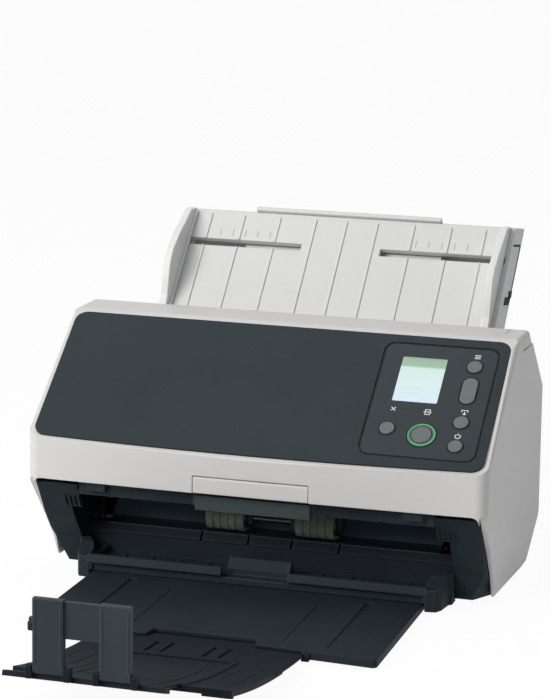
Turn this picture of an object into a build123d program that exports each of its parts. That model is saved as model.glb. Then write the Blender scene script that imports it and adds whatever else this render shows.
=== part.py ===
from build123d import *
import os
from math import atan2, cos, degrees, hypot, radians, sin, sqrt

os.makedirs("parts", exist_ok=True)

# Sizes in millimetres: X to the right, Y to the rear, Z up, the desk at Z 0.
# The written files stand with their origin under the middle of the whole object.
middle_y = -107.7

# Body
half = 150.0
side_wall = 4.6
skin = 3.0
seam = 0.4
housing_half = half - side_wall - seam
front_bow = 2.5
corner_r = 8.0
lip_front = -88.0
lip_bottom = 68.0
top_z = 163.0
top_rear = 43.0
rear_lip_low = 145.5

# The sloping panel, measured down the slope from its upper edge
panel_top = (-2.0, 161.5)
panel_angle = 37.6
panel_half = half - 3.7
panel_length = 105.0
panel_bow = 3.0
panel_thick = 1.5
panel_r = 8.0

# Operator panel: places across and down the slope
op_right = panel_half - 6.3
op_left = op_right - 74.0
op_top, op_bottom = 6.5, 98.8
op_thick = 2.4
op_r = 7.0
back = -op_thick - 1.2
screen_box = (op_left + 12.8, op_left + 41.8, 17.4, 54.4)
round_buttons = {
    "menu_button": (op_right - 14.0, 22.4, 4.8),
    "feed_button": (op_right - 14.0, 68.0, 4.8),
    "power_button": (op_right - 14.0, 87.1, 4.6),
    "stop_button": (op_left + 14.8, 77.2, 4.8),
    "scan_button": (op_left + 37.4, 80.4, 6.4),
}
ring_inner, ring_outer = 6.8, 8.9
rocker_at = (op_right - 14.0, 42.3)
rocker_half = (4.8, 10.4)
rocker_axle = back - 1.5
rocker_gap = 0.35
button_gap = 0.25
button_travel = 0.8

# Little levers: the front one in the lip, the release at the top right corner
tab_half = 37.5
tab_top = 78.7
tab_pivot = (-86.4, 76.8)
release_left = half - 12.5
release_box = (release_left, half + 10.0, 17.0, 60.0, 152.4, 170.0)
release_pivot = (19.5, 160.2)
keeper_top = 138.4

# Cover hinge and the two cheeks that carry it
hinge = (-60.0, 50.0)
hinge_r = 3.0
running = 0.05
cheek_wall = 3.0
cheek_inner = housing_half - 20.5
cheek_lip = cheek_inner - 7.5
arm = (cheek_inner + 7.0, cheek_inner + 13.0)
frame_half = cheek_lip - 0.5

# Paper path: exit nip, slope of the inner guide, rollers
nip = (-28.6, 34.6)
throat = (46.0, 120.0)
guide_half = cheek_inner - 13.5
guide_thick = 2.5
guide_low, guide_up = -1.0, 1.2
unit_half = guide_half - 4.5
idler_r = 9.0
exit_r = 9.0
feed_r = 9.0
feed_idler_r = 8.0
pick_r = 12.0
brake_r = 9.0
nip_gap = 0.35
shaft_r = 3.0
idler_shaft_r = 2.0
tyre_at = (17.4, 42.6)
feed_tyre_at = (30.0, 52.0)
pick_tyre_at = (8.0, 30.0)
window = 1.5
hub = 1.0

# Drive: where the wheels and belts stand across the machine
pulley_r = 7.0
belt_thick = 1.0
motor_at = (46.0, 36.0)
near_wheel = (guide_half + 2.0, guide_half + 6.0)
far_wheel = (guide_half + 8.0, guide_half + 12.0)
right_wheel = (guide_half + 5.0, guide_half + 9.0)

# Chute, at 45 degrees, and side guides
chute_half = housing_half - 27.0
chute_top = 131.0
chute_thick = 4.0
tray_wall = 2.0
tray_depth = 27.0
tray_rise = 19.0
fence = (chute_half - 7.9, chute_half - 3.1)
fence_travel = 75.0
chute_ext_half = 70.0
chute_ext_low = -9.25

# Rear face
rear_top = (43.8, 153.6)
rear_edge = (84.7, 115.3)
rear_foot = (88.0, 27.8)
screw_places = ((half - 19.0, 100.0), (half - 19.0, 44.0))

# Stacker
plate_half = 109.0
root_half = plate_half + 3.0
plate_rear, plate_front = -58.0, -190.0
plate_low, plate_high = 1.4, 6.5
plate_skin = 1.5
leaf_centre = (-133.2, 773.6)
leaf_r = 771.0
leaf_one = (165.0, 326.0)
leaf_one_half = plate_half - 46.0
leaf_step = 226.0
leaf_two = (258.0, 388.0)
leaf_two_half = leaf_one_half - 30.0
bar_half = leaf_two_half + 12.0
stop_pivot = (-384.0, 48.3)
stop_height = 42.0
stop_inner, stop_outer = 10.0, 27.0


# Drawing helpers


def outline(points):
    # a closed outline from (u, v) or (u, v, corner radius)
    n = len(points)
    edges = []
    ends = []
    for i, p in enumerate(points):
        u, v = p[0], p[1]
        r = p[2] if len(p) > 2 else 0
        a, b = points[i - 1], points[(i + 1) % n]
        da = (a[0] - u, a[1] - v)
        db = (b[0] - u, b[1] - v)
        la, lb = hypot(*da), hypot(*db)
        da = (da[0] / la, da[1] / la)
        db = (db[0] / lb, db[1] / lb)
        if r <= 0:
            ends.append(((u, v), None, (u, v)))
            continue
        turn = degrees(atan2(da[0] * db[1] - da[1] * db[0], da[0] * db[0] + da[1] * db[1]))
        half_turn = radians(abs(turn)) / 2
        reach = r / (sin(half_turn) / cos(half_turn))
        mid = (da[0] + db[0], da[1] + db[1])
        lm = hypot(*mid)
        centre = (u + mid[0] / lm * r / sin(half_turn), v + mid[1] / lm * r / sin(half_turn))
        near = (centre[0] - mid[0] / lm * r, centre[1] - mid[1] / lm * r)
        first = (u + da[0] * reach, v + da[1] * reach)
        last = (u + db[0] * reach, v + db[1] * reach)
        ends.append((first, near, last))
    for i in range(n):
        first, near, last = ends[i]
        if near is not None:
            edges.append(ThreePointArc(first, near, last))
        after = ends[(i + 1) % n][0]
        if hypot(after[0] - last[0], after[1] - last[1]) > 1e-6:
            edges.append(Line(last, after))
    return make_face(edges)


def prism(points, x0, x1):
    # an outline in (y, z), swept from x0 to x1
    return extrude(Plane.YZ.offset(x0) * outline(points), x1 - x0)


def both(shape):
    # a shape with its mirror image across the middle
    return shape + mirror(shape, Plane.YZ)


def block(x0, x1, y0, y1, z0, z1):
    return Pos((x0 + x1) / 2, (y0 + y1) / 2, (z0 + z1) / 2) * Box(x1 - x0, y1 - y0, z1 - z0)


def rod(y, z, r, x0, x1):
    # a rod along X
    return extrude(Plane.YZ.offset(x0) * Pos(y, z) * Circle(r), x1 - x0)


def along(t, up=0.0):
    # a point of the inner guide: t up the slope from the nip, up towards the cover
    length = hypot(throat[0] - nip[0], throat[1] - nip[1])
    d = ((throat[0] - nip[0]) / length, (throat[1] - nip[1]) / length)
    return (nip[0] + d[0] * t - d[1] * up, nip[1] + d[1] * t + d[0] * up)


def strip(points, thick):
    # a bent strip below a line of (y, z) points, as a closed outline
    low = []
    for i, p in enumerate(points):
        a = points[max(i - 1, 0)]
        b = points[min(i + 1, len(points) - 1)]
        d = (b[0] - a[0], b[1] - a[1])
        length = hypot(*d)
        low.append((p[0] + d[1] / length * thick, p[1] - d[0] / length * thick))
    return list(points) + low[::-1]


slope_plane = Plane(
    origin=(0, panel_top[0], panel_top[1]),
    x_dir=(1, 0, 0),
    z_dir=(0, -sin(radians(panel_angle)), cos(radians(panel_angle))),
)
chute_plane = Plane(
    origin=(0, throat[0], throat[1]), x_dir=(1, 0, 0), z_dir=(0, -sqrt(0.5), sqrt(0.5))
)
guide_plane = Plane(
    origin=(0, nip[0], nip[1]),
    x_dir=(1, 0, 0),
    z_dir=(0, along(0, 1)[0] - nip[0], along(0, 1)[1] - nip[1]),
)


def slab(plane, x0, x1, v0, v1, w0, w1, r=0.0):
    # a block in a plane's own axes: across, up the slope, out of the plane
    shape = Pos((x0 + x1) / 2, (v0 + v1) / 2) * Rectangle(x1 - x0, v1 - v0)
    if r > 0:
        shape = Pos((x0 + x1) / 2, (v0 + v1) / 2) * RectangleRounded(x1 - x0, v1 - v0, r)
    return extrude(plane.offset(w0) * shape, w1 - w0)


def disc(plane, x, v, r, w0, w1):
    return extrude(plane.offset(w0) * Pos(x, v) * Circle(r), w1 - w0)


def turn_of(u):
    # the angle of the leaves' arc at a distance u in front of the origin
    return degrees((u + leaf_centre[0]) / leaf_r)


def leaf(points, u0, u1):
    # a section in (x, distance from the arc's centre), swept along the arc
    at = [(p[0], leaf_centre[1] - p[1]) for p in points]
    face = Plane.XZ.offset(-leaf_centre[0]) * outline(at)
    axis = Axis((0, leaf_centre[0], leaf_centre[1]), (1, 0, 0))
    face = face.rotate(axis, -turn_of(u1))
    return revolve(face, axis, turn_of(u1) - turn_of(u0))


def leaf_block(x0, x1, r0, r1, u0, u1):
    return leaf([(x0, r0), (x1, r0), (x1, r1), (x0, r1)], u0, u1)


def write(name, shape):
    export_step(Pos(0, -middle_y, 0) * shape, "parts/" + name + ".step")


# Cover

cover_side = [
    (lip_front, lip_bottom),
    (lip_front, 93.0, 3.0),
    (panel_top[0] - 3.2 * cos(radians(panel_angle)), panel_top[1] - 3.2 * sin(radians(panel_angle))),
    (3.0, top_z, 6.0),
    (36.0, top_z, 5.0),
    (top_rear, 156.0, 6.0),
    (88.0, 116.0, 4.0),
    (91.5, 27.0, 6.0),
    (52.0, 4.5, 6.0),
    (-38.5, 4.5, 3.0),
    (-45.2, 20.0, 4.0),
    (-62.0, 42.0, 8.0),
    (-80.5, 64.0, 1.5),
    (-83.0, lip_bottom),
]


def bowed(inset, z0, z1):
    # the plan of the cover: a front that bows out, with rounded corners
    end = lip_front + front_bow + inset
    arc = ThreePointArc((-half + inset, end), (0, lip_front + inset), (half - inset, end))
    lines = [
        arc,
        Line((half - inset, end), (half - inset, 100)),
        Line((half - inset, 100), (-half + inset, 100)),
        Line((-half + inset, 100), (-half + inset, end)),
    ]
    face = make_face(lines)
    if corner_r > inset:
        face = fillet(face.vertices().group_by(Axis.Y)[0], corner_r - inset)
    return extrude(Plane.XY.offset(z0) * face, z1 - z0)


def inner_side(gap):
    # the hollow of the cover, seen from the side
    shift = gap / cos(radians(panel_angle))
    return [
        (-120.0, 0.0),
        (
            -120.0,
            panel_top[1] - (panel_top[0] + 120.0) * sin(radians(panel_angle)) / cos(radians(panel_angle)) - shift,
        ),
        (panel_top[0], panel_top[1] - shift, 3.0),
        (3.0, top_z - gap, 3.0),
        (34.0, top_z - gap, 3.0),
        (top_rear - 2.6, 153.5),
        (top_rear - 2.6, rear_lip_low),
        (130.0, rear_lip_low),
        (130.0, 0.0),
    ]


def soft_sides(plane, r):
    # a long bar with rounded upper edges, to trim the cover's side edges
    face = outline([(-half, -400), (-half, 0, r), (half, 0, r), (half, -400)])
    return extrude(plane.offset(-300) * face, 600)


def side_taper():
    # what lies outside a side wall that leans in towards its lower front corner
    a = Vector(half, -70.0, 67.0)
    b = Vector(half - side_wall + 1.0, -40.0, 5.0)
    c = Vector(half, 35.0, 4.5)
    out = (c - a).cross(b - a).normalized()
    if out.X < 0:
        out = -out
    return extrude(Plane(origin=a, x_dir=(c - a), z_dir=out) * Rectangle(500, 500), 40)


def cover_body():
    body = prism(cover_side, -half, half) & bowed(0, 0, 200)
    down = (0, -cos(radians(panel_angle)), -sin(radians(panel_angle)))
    body &= soft_sides(Plane(origin=slope_plane.origin, x_dir=(1, 0, 0), z_dir=down), 3.4)
    body &= soft_sides(Plane(origin=(0, 0, top_z), x_dir=(1, 0, 0), z_dir=(0, -1, 0)), 3.4)
    inside = prism(inner_side(skin), -half + side_wall, half - side_wall) & bowed(skin, -1, 200)
    x, z = half - side_wall - 4.8, lip_bottom - 4.8
    corner = block(x, x + 5, lip_front - 2, lip_front + 3.6, z, z + 5)
    corner -= extrude(Plane.XZ.offset(80) * (Pos(x, z) * Circle(4.8)), 20)
    return body - inside - both(side_taper()) + (both(corner) & bowed(0, 0, 200))


def panel_outline(grow):
    # the dark panel's outline, in the slope's axes
    w = panel_half + grow
    top = grow
    low = -panel_length - grow
    arc = ThreePointArc((-w, low), (0, low - panel_bow), (w, low))
    face = make_face([arc, Line((w, low), (w, top)), Line((w, top), (-w, top)), Line((-w, top), (-w, low))])
    return fillet(face.vertices(), panel_r + grow)


def op_hole(grow, w0, w1):
    return slab(
        slope_plane, op_left - grow, op_right + grow, -op_bottom - grow, -op_top + grow, w0, w1, op_r + grow
    )


def cover_shell():
    body = cover_body()
    body -= extrude(slope_plane.offset(-panel_thick) * panel_outline(0.15), 30)
    body -= slab(slope_plane, op_left + 2.5, op_right - 2.5, -op_bottom + 2.5, -op_top - 2.5, -12, 5, 5)
    body -= block(-tab_half - seam, tab_half + seam, -100, -80, 60, tab_top + 0.6)
    body -= rod(*tab_pivot, 1.0 + running, -tab_half - 3.2, tab_half + 3.2)
    body -= block(*release_box)
    y, z = release_pivot
    body += block(release_left - 3.0, release_left - 0.4, y - 4, y + 4, z - 4, top_z - skin)
    return body - rod(y, z, 1.0 + running, release_left - 3.1, release_left + 2.5)


def dark_panel():
    plate = extrude(slope_plane.offset(-panel_thick) * panel_outline(0), panel_thick)
    plate -= op_hole(0.5, -5, 5)
    return plate


def op_panel():
    # the operator panel: a plate with holes for the screen and the keys
    plate = op_hole(0, -panel_thick, -0.2)
    plate += slab(
        slope_plane, op_left + 3, op_right - 3, -op_bottom + 3, -op_top - 3, -op_thick - 1.2, -panel_thick, 4.5
    )
    x0, x1, s0, s1 = screen_box
    plate -= slab(slope_plane, x0, x1, -s1, -s0, -10, 5, 1.0)
    for name, (x, s, r) in round_buttons.items():
        room = ring_outer if name == "scan_button" else r + button_gap
        plate -= disc(slope_plane, x, -s, room, -10, 5)
    rx, rs = rocker_at
    wide, tall = rocker_half
    plate -= slab(
        slope_plane,
        rx - wide - rocker_gap,
        rx + wide + rocker_gap,
        -rs - tall - rocker_gap,
        -rs + tall + rocker_gap,
        -10,
        5,
        wide,
    )
    return plate


def screen():
    x0, x1, s0, s1 = screen_box
    pane = slab(slope_plane, x0 + 0.1, x1 - 0.1, -s1 + 0.1, -s0 - 0.1, back, -0.5, 0.9)
    return pane


def scan_ring():
    x, s, r = round_buttons["scan_button"]
    ring = disc(slope_plane, x, -s, ring_outer - 0.05, back, 0.3)
    return ring - disc(slope_plane, x, -s, ring_inner, -10, 5)


def button(name):
    # a round key: a domed cap with a flange that stops it behind the plate
    x, s, r = round_buttons[name]
    cap = disc(slope_plane, x, -s, r, back - 0.9, 0.7)
    cap = fillet(cap.edges().sort_by(Axis.Z)[-1], 0.5)
    wide = ring_inner + 1.2 if name == "scan_button" else r + 1.0
    cap += disc(slope_plane, x, -s, wide, back - 0.9, back)
    return cap


def rocker():
    rx, rs = rocker_at
    wide, tall = rocker_half
    cap = slab(slope_plane, rx - wide, rx + wide, -rs - tall, -rs + tall, rocker_axle, 0.5, wide - 0.2)
    cap = fillet(cap.faces().filter_by(lambda f: abs(f.normal_at().dot(slope_plane.z_dir)) > 0.99)
                 .sort_by(Axis.Z)[-1].edges(), 0.4)
    for side in (1, -1):
        mark = slab(slope_plane, rx - 1.6, rx + 1.6, -rs + side * 6 - 0.3, -rs + side * 6 + 0.3, 0.3, 2)
        cap -= mark
    cap += disc_x(rx - wide - 1.6, rx + wide + 1.6, -rs, rocker_axle, 1.2)
    return cap


def disc_x(x0, x1, v, w, r):
    # a rod along X, placed in the slope's axes
    at = slope_plane.from_local_coords(Vector(0, v, w))
    return rod(at.Y, at.Z, r, x0, x1)


def panel_board():
    # the board behind the keys, with the rocker's cradle and switch pads
    low = back - 3.2
    board = slab(slope_plane, op_left + 3.5, op_right - 3.5, -op_bottom + 3.5, -op_top - 3.5, low - 1.6, low)
    rx, rs = rocker_at
    wide = rocker_half[0]
    for side in (1, -1):
        x0 = rx + side * (wide + 0.9)
        cradle = slab(slope_plane, x0 - 0.5, x0 + 0.5, -rs - 2.2, -rs + 2.2, low, back)
        cradle -= disc_x(rx - wide - 1.8, rx + wide + 1.8, -rs, rocker_axle, 1.2 + running)
        board += cradle
    for name, (x, s, r) in round_buttons.items():
        board += disc(slope_plane, x, -s, 2.0, low, back - 0.9 - button_travel - 0.25)
    for x in (op_left + 5.5, op_right - 5.5):
        for s in (op_top + 5.5, op_bottom - 5.5):
            board += disc(slope_plane, x, -s, 1.8, low, back)
    return board


def front_tab():
    # the little lever in the lip, on two pins at its upper edge
    body = block(-tab_half, tab_half, -95, -85.05, lip_bottom + 0.3, tab_top) & bowed(0, 0, 200)
    top = body.edges().filter_by(lambda e: e.center().Z > tab_top - 0.01 and e.length > 30)
    body = fillet(top, 1.2)
    body += rod(*tab_pivot, 1.0, -tab_half - 3.0, tab_half + 3.0)
    body += block(-tab_half + 4, tab_half - 4, -86, -83.6, lip_bottom + 0.3, lip_bottom + 2.2)
    return body


def release_tab():
    # the corner lever at the top right, cut from the cover's own outline
    x0, x1, y0, y1, z0, z1 = release_box
    whole = prism(cover_side, -half, half) & bowed(0, 0, 200)
    body = whole & block(x0 + seam, x1, y0 + seam, y1, z0 + 1.0, z1)
    edge = body.edges().filter_by(lambda e: e.center().X > half - 0.01 and e.center().Z > top_z - 4.9)
    body = fillet([e for e in edge if e.center().Y < 41], 3.0)
    tip = body.edges().filter_by(lambda e: e.center().Z > top_z - 0.01 and e.center().Y < y0 + 0.5)
    body = fillet(tip, 1.0)
    body += rod(*release_pivot, 1.0, x0 - 2.9, x0 + 2)
    body += block(x0 + 0.7, x0 + 3.7, 32.0, 36.0, keeper_top + 0.5, z0 + 3)
    return body


def frame_line():
    # the underside of the cover frame, from the throat to the front strip
    return [
        (42.4, 144.8),
        along(112, 8.5),
        along(104.5, guide_up),
        along(14, guide_up),
        (-26.5, 52.5),
        (-58.0, 57.0),
        (-79.6, 58.3),
        (-80.4, 67.0),
    ]


exit_at = along(0, -exit_r - nip_gap / 2)
idler_at = along(0, idler_r + nip_gap / 2)
feed_at = along(62, -feed_r - nip_gap / 2)
feed_idler_at = along(62, feed_idler_r + nip_gap / 2)
pick_at = along(100, -pick_r - nip_gap / 2)
brake_at = along(100, brake_r + nip_gap / 2)


def cover_frame():
    body = prism(strip(frame_line(), guide_thick), -frame_half, frame_half)
    room = prism(inner_side(skin), -half + side_wall, half - side_wall) & bowed(skin, -1, 200)
    wall = prism(
        [
            (-80.0, 60.0),
            (-58.0, 58.5),
            (-27.0, 54.5),
            along(14, guide_up + 1),
            along(104, guide_up + 1),
            along(111.5, 9.8),
            (40.4, 146.0),
            (20.0, 175.0),
            (-80.0, 120.0),
        ],
        frame_half - 3.9,
        frame_half,
    )
    web = block(frame_half - 2, arm[1], -56, -42, 69, 73)
    web += prism(
        [(-62.0, 57.3), (-58.0, 57.0), (-30.0, 53.0), (-30.0, 55.5), (-58.0, 59.5), (-62.0, 59.8)],
        frame_half - 1,
        cheek_inner - 0.8,
    )
    legs = prism(
        [
            (-65.5, 50.0, 2),
            (-60.0, 43.5, 4),
            (-53.5, 50.0, 2),
            (-44.0, 69.0),
            (-44.0, 73.0),
            (-56.0, 73.0),
            (-56.0, 69.0),
        ],
        *arm,
    )
    legs -= rod(*hinge, hinge_r + running, arm[0] - 1, arm[1] + 1)
    body += both((wall & room) + web + legs)
    lugs = block(frame_half - 19, frame_half - 7, -90, -79, 62, 71) & bowed(skin, -1, 200)
    body += both(lugs)
    body += block(-tab_half, tab_half, -83.0, -79.6, 56.0, 65.5)
    body -= slab(guide_plane, -unit_half + 0.3, unit_half - 0.3, 24.8, 39.2, -5, guide_up + guide_thick)
    cut = slab(guide_plane, feed_tyre_at[0] - window, feed_tyre_at[1] + window, 53.5, 70.5, -5, 8)
    cut += slab(guide_plane, pick_tyre_at[0] - window, pick_tyre_at[1] + window, 90, 110, -5, 14)
    body -= both(cut)
    body -= slab(slope_plane, op_left, op_right, -op_bottom - 1, -op_top + 1, back - 6, 5)
    ears = block(
        tyre_at[0] - 4.4, tyre_at[0] - 1.4, idler_at[0] - 3.6, idler_at[0] + 3.6, idler_at[1] - 3.4, 55.5
    )
    ears += block(
        tyre_at[1] + 1.4, tyre_at[1] + 4.4, idler_at[0] - 3.6, idler_at[0] + 3.6, idler_at[1] - 3.4, 55.5
    )
    ears -= rod(*idler_at, idler_shaft_r + running, 0, 60)
    body += both(ears)
    for at, place, reach, t in ((feed_idler_at, feed_tyre_at, 13.0, 62), (brake_at, pick_tyre_at, 14.0, 100)):
        for x0 in (place[0] - 4.6, place[1] + 1.6):
            ear = slab(guide_plane, x0, x0 + 3, t - 4, t + 4, guide_up + 0.5, reach)
            body += both(ear - rod(*at, idler_shaft_r + running, x0 - 1, x0 + 4))
    for i in range(-12, 13):
        x = i * 8.0
        body += prism([(-79.6, 58.6), (-58.0, 57.2), (-58.0, 56.2), (-78.8, 57.4)], x - 0.5, x + 0.5)
    return body


def idler_set(at, place, r):
    # two tyres on one thin shaft, all turning together
    shaft = rod(*at, idler_shaft_r, -place[1] - 4.2, place[1] + 4.2)
    tyres = both(rod(*at, r, *place))
    hubs = both(rod(*at, r - 2.5, place[0] - hub, place[1] + hub))
    grooves = None
    for k in range(1, 5):
        x = place[0] + (place[1] - place[0]) * k / 5
        ring = rod(*at, r + 1, x - 0.4, x + 0.4) - rod(*at, r - 0.5, x - 1, x + 1)
        grooves = ring if grooves is None else grooves + ring
    return shaft + hubs, tyres - both(grooves) - (shaft + hubs)


def drive_set(at, place, r, left, right):
    # a driven shaft with its two tyres and its pulleys
    shaft = rod(*at, shaft_r, left, right)
    shaft += both(rod(*at, r - 3.0, place[0] - hub, place[1] + hub))
    tyres = both(rod(*at, r, *place)) - shaft
    return shaft, tyres


def pulley(at, x0, x1):
    wheel = rod(*at, pulley_r, x0, x1)
    wheel += rod(*at, pulley_r + 1.4, x0 - 0.8, x0 - 0.2)
    wheel += rod(*at, pulley_r + 1.4, x1 + 0.2, x1 + 0.8)
    wheel += rod(*at, pulley_r - 1.0, x0 - 0.8, x1 + 0.8)
    return wheel


def belt(a, b, x0, x1):
    # a closed belt round two equal pulleys
    d = (b[0] - a[0], b[1] - a[1])
    length = hypot(*d)
    middle = ((a[0] + b[0]) / 2, (a[1] + b[1]) / 2)
    angle = degrees(atan2(d[1], d[0]))
    faces = []
    for r in (pulley_r + 0.3, pulley_r + 0.3 + belt_thick):
        faces.append(
            Plane.YZ.offset(x0) * Pos(*middle) * Rot(0, 0, angle) * SlotCenterToCenter(length, 2 * r)
        )
    return extrude(faces[1], x1 - x0) - extrude(faces[0], x1 - x0)


# Base


def cheek_cut(inset):
    # what lies outside a slanting face at the cheek's lower front corner
    a = Vector(housing_half, -59.2, 31.0)
    b = Vector(housing_half, -40.1, 13.8)
    c = Vector(housing_half - 7.0, -42.0, 4.0)
    out = (c - a).cross(b - a).normalized()
    place = Plane(origin=b - out * inset, x_dir=(b - a), z_dir=out)
    return extrude(place * Rectangle(120, 120), 40)


def cheek():
    # one side of the mouth: a hollow box, open above and behind, with an upper lip
    face = [(-83.0, 65.2, 1.0), (-66.4, 39.8, 14.0), (-52.0, 22.0, 6.0), (-49.0, 4.0, 3.0)]
    body = prism(face + [(0.0, 4.0), (0.0, 57.0), (-44.0, 57.0), (-54.0, 65.2)], cheek_inner, housing_half)
    corner = body.edges().filter_by(
        lambda e: abs(e.center().X - housing_half) < 0.01 and e.center().Y < -50 and e.center().Z < 64.5
    )
    body = fillet(corner, 1.0) - cheek_cut(0)
    hollow = [
        (-80.4, 66.0),
        (-64.0, 41.2, 9.0),
        (-49.8, 23.6, 4.0),
        (-46.8, 8.0),
        (1.0, 8.0),
        (1.0, 80.0),
        (-80.4, 80.0),
    ]
    body -= prism(hollow, cheek_inner + cheek_wall, housing_half - cheek_wall) - cheek_cut(cheek_wall)
    body -= rod(*hinge, hinge_r, cheek_inner - 1, housing_half + 1)
    rim = [(-83.0, 65.2, 1.0), (-71.1, 47.0, 0.6), (-68.8, 48.2), (-79.6, 64.8)]
    body += prism(rim, cheek_lip, cheek_inner + 1)
    for i in range(4):
        x = cheek_lip + 0.3 + i * 3.2
        body += prism([(-78.0, 55.4), (-75.8, 57.0), (-70.8, 49.4), (-73.0, 47.8)], x, x + 1.2)
    return body


def guide_line():
    # the top of the lower guide, from the chute to the ridge
    points = [along(111.5, guide_low), along(5, guide_low)]
    for angle in (-49, -66, -84, -102):
        a = radians(angle)
        r = idler_r + nip_gap / 2 + 1.0 + (-49 - angle) * 0.012
        points.append((idler_at[0] + r * cos(a), idler_at[1] + r * sin(a)))
    points.append((-39.0, 29.9))
    return points


def lower_guide():
    body = prism(strip(guide_line(), -guide_thick), -guide_half, guide_half)
    ridge = [
        (-38.2, 30.1, 0.8),
        (-43.0, 24.6, 0.8),
        (-41.8, 23.4),
        (-41.8, 11.0),
        (-39.3, 11.0),
        (-39.3, 24.6),
        (-35.5, 27.2),
        (-36.0, 29.3),
    ]
    body += prism(ridge, -cheek_inner + 0.3, cheek_inner - 0.3)
    side = prism(
        [
            (-41.0, 11.0),
            (-41.0, 24.6),
            (-33.0, 27.6),
            along(4, guide_low - 1.5),
            along(111.5, guide_low - 1.5),
            (62.0, 104.0),
            (62.0, 18.6),
            (48.5, 11.0),
        ],
        guide_half - 3.0,
        guide_half,
    )
    for at in (exit_at, feed_at, pick_at):
        side -= rod(*at, shaft_r + running, guide_half - 10, guide_half + 10)
    body += both(side)
    cut = block(tyre_at[0] - window, tyre_at[1] + window, -32.6, -10.0, 12, 60)
    cut += slab(guide_plane, feed_tyre_at[0] - window, feed_tyre_at[1] + window, 53.0, 71.0, -8, 3)
    cut += slab(guide_plane, pick_tyre_at[0] - window, pick_tyre_at[1] + window, 89.0, 109.5, -8, 3)
    body -= both(cut)
    body -= slab(guide_plane, -unit_half + 0.3, unit_half - 0.3, 24.8, 39.2, -8, 3)
    for x in (tyre_at[0] - 3.0, tyre_at[1] + 3.6):
        body -= both(block(x - 0.8, x + 0.8, -45, -37.5, 23.5, 40))
    body -= rod(motor_at[0], motor_at[1], 7.0, -guide_half - 4, -guide_half + 11)
    for i in range(-6, 7):
        x = i * 16.0
        if abs(x) < 12 or abs(abs(x) - 64) < 1 or abs(abs(x) - 96) < 1:
            body += slab(guide_plane, x - 0.6, x + 0.6, 42, 86, guide_low - 0.5, guide_low + 0.6)
    return body


def scan_unit(side):
    # one contact image sensor: a long box behind its strip of glass
    w = unit_half - 0.5
    if side > 0:
        body = slab(guide_plane, -unit_half, unit_half, 20, 44, guide_up + guide_thick, 19)
        glass = slab(guide_plane, -w, w, 25, 39, guide_up + 0.3, guide_up + guide_thick)
    else:
        body = slab(guide_plane, -unit_half - 1.5, unit_half + 1.5, 20, 44, -18, guide_low - guide_thick)
        glass = slab(guide_plane, -w, w, 25, 39, guide_low - guide_thick, guide_low - 0.2)
    return body, glass


def slope_z(y):
    # the height of the rear slope
    (y0, z0), (y1, z1) = rear_edge, rear_top
    return z0 + (y - y0) * (z1 - z0) / (y1 - y0)


def rear_housing():
    side = [
        (0.0, 8.0),
        (50.3, 8.0, 3.0),
        (*rear_foot, 5.0),
        (*rear_edge, 4.0),
        (*rear_top, 1.5),
        (43.8, 140.0),
        (20.0, 112.0),
        (0.0, 88.0),
    ]
    body = prism(side, -housing_half, housing_half)
    inside = [
        (-1.0, 0.0),
        (49.6, 0.0),
        (49.6, 11.0),
        (84.9, 29.8, 3.0),
        (81.7, 113.9, 2.0),
        (42.0, 151.0),
        (42.0, 200.0),
        (-1.0, 200.0),
    ]
    body -= prism(inside, -housing_half + 3, housing_half - 3)
    post = prism(
        [(43.8, slope_z(43.8) - 1.0), (84.0, slope_z(84.0) - 1.0), (70.0, 112.0), (43.8, 134.0)],
        chute_half + 0.6,
        chute_half + 3,
    )
    body += both(post)
    above = [(10.0, 78.32), (95.0, 163.32), (95.0, 260.0), (-60.0, 260.0), (-60.0, 78.32)]
    body -= prism(above, -chute_half - 0.5, chute_half + 0.5)
    body -= block(-half, half, 30, 60, rear_lip_low - seam, 200)
    for i in range(9):
        x = -100.0 + i * 9.0
        body -= slab(Plane.XZ.offset(-95), x, x + 4, 58, 96, -10, 20, 1.9)
    body -= block(84, 112, 80, 95, 34, 56)
    body -= block(60, 75, 80, 95, 38, 50)
    for x, z in screw_places:
        hole = disc(Plane.XZ.offset(-rear_face(z) + 1.0), x, z, 3.4, -5, 5) & block(
            0, half, rear_face(z) - 1, 100, 0, 200
        )
        body -= both(hole + disc(Plane.XZ.offset(-100), x, z, 1.6, 0, 30))
    return body


def rear_face(z):
    return rear_foot[0] + (z - rear_foot[1]) * (rear_edge[0] - rear_foot[0]) / (rear_edge[1] - rear_foot[1])


def screws():
    group = None
    for x, z in screw_places:
        y = rear_face(z)
        one = disc(Plane.XZ.offset(-y + 0.2), x, z, 3.2, 0, 0.8)
        one += disc(Plane.XZ.offset(-y + 0.2), x, z, 1.6, 0, 6)
        one -= block(x - 2, x + 2, y - 0.8, y + 1, z - 0.35, z + 0.35)
        one -= block(x - 0.35, x + 0.35, y - 0.8, y + 1, z - 2, z + 2)
        group = both(one) if group is None else group + both(one)
    return group


def power_inlet():
    body = block(84, 112, 74, rear_face(45) + 0.6, 34, 56)
    body -= block(87, 109, 77, 100, 37, 53)
    body += prism([(77, 38.5), (86, 38.5), (86, 51.5), (77, 51.5)], 88.5, 107.5) - block(
        89.5, 106.5, 78, 100, 39.5, 50.5
    )
    for x, z in ((93, 43), (98, 47), (103, 43)):
        body += block(x - 0.6, x + 0.6, 76, 85, z - 2, z + 2)
    return body


def usb_socket():
    body = block(60, 75, 74, rear_face(44) + 0.4, 38, 50)
    body -= block(61.5, 73.5, 76, 100, 39.5, 48.5)
    return body + block(63.5, 71.5, 75, 85, 42.5, 45.5)


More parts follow.
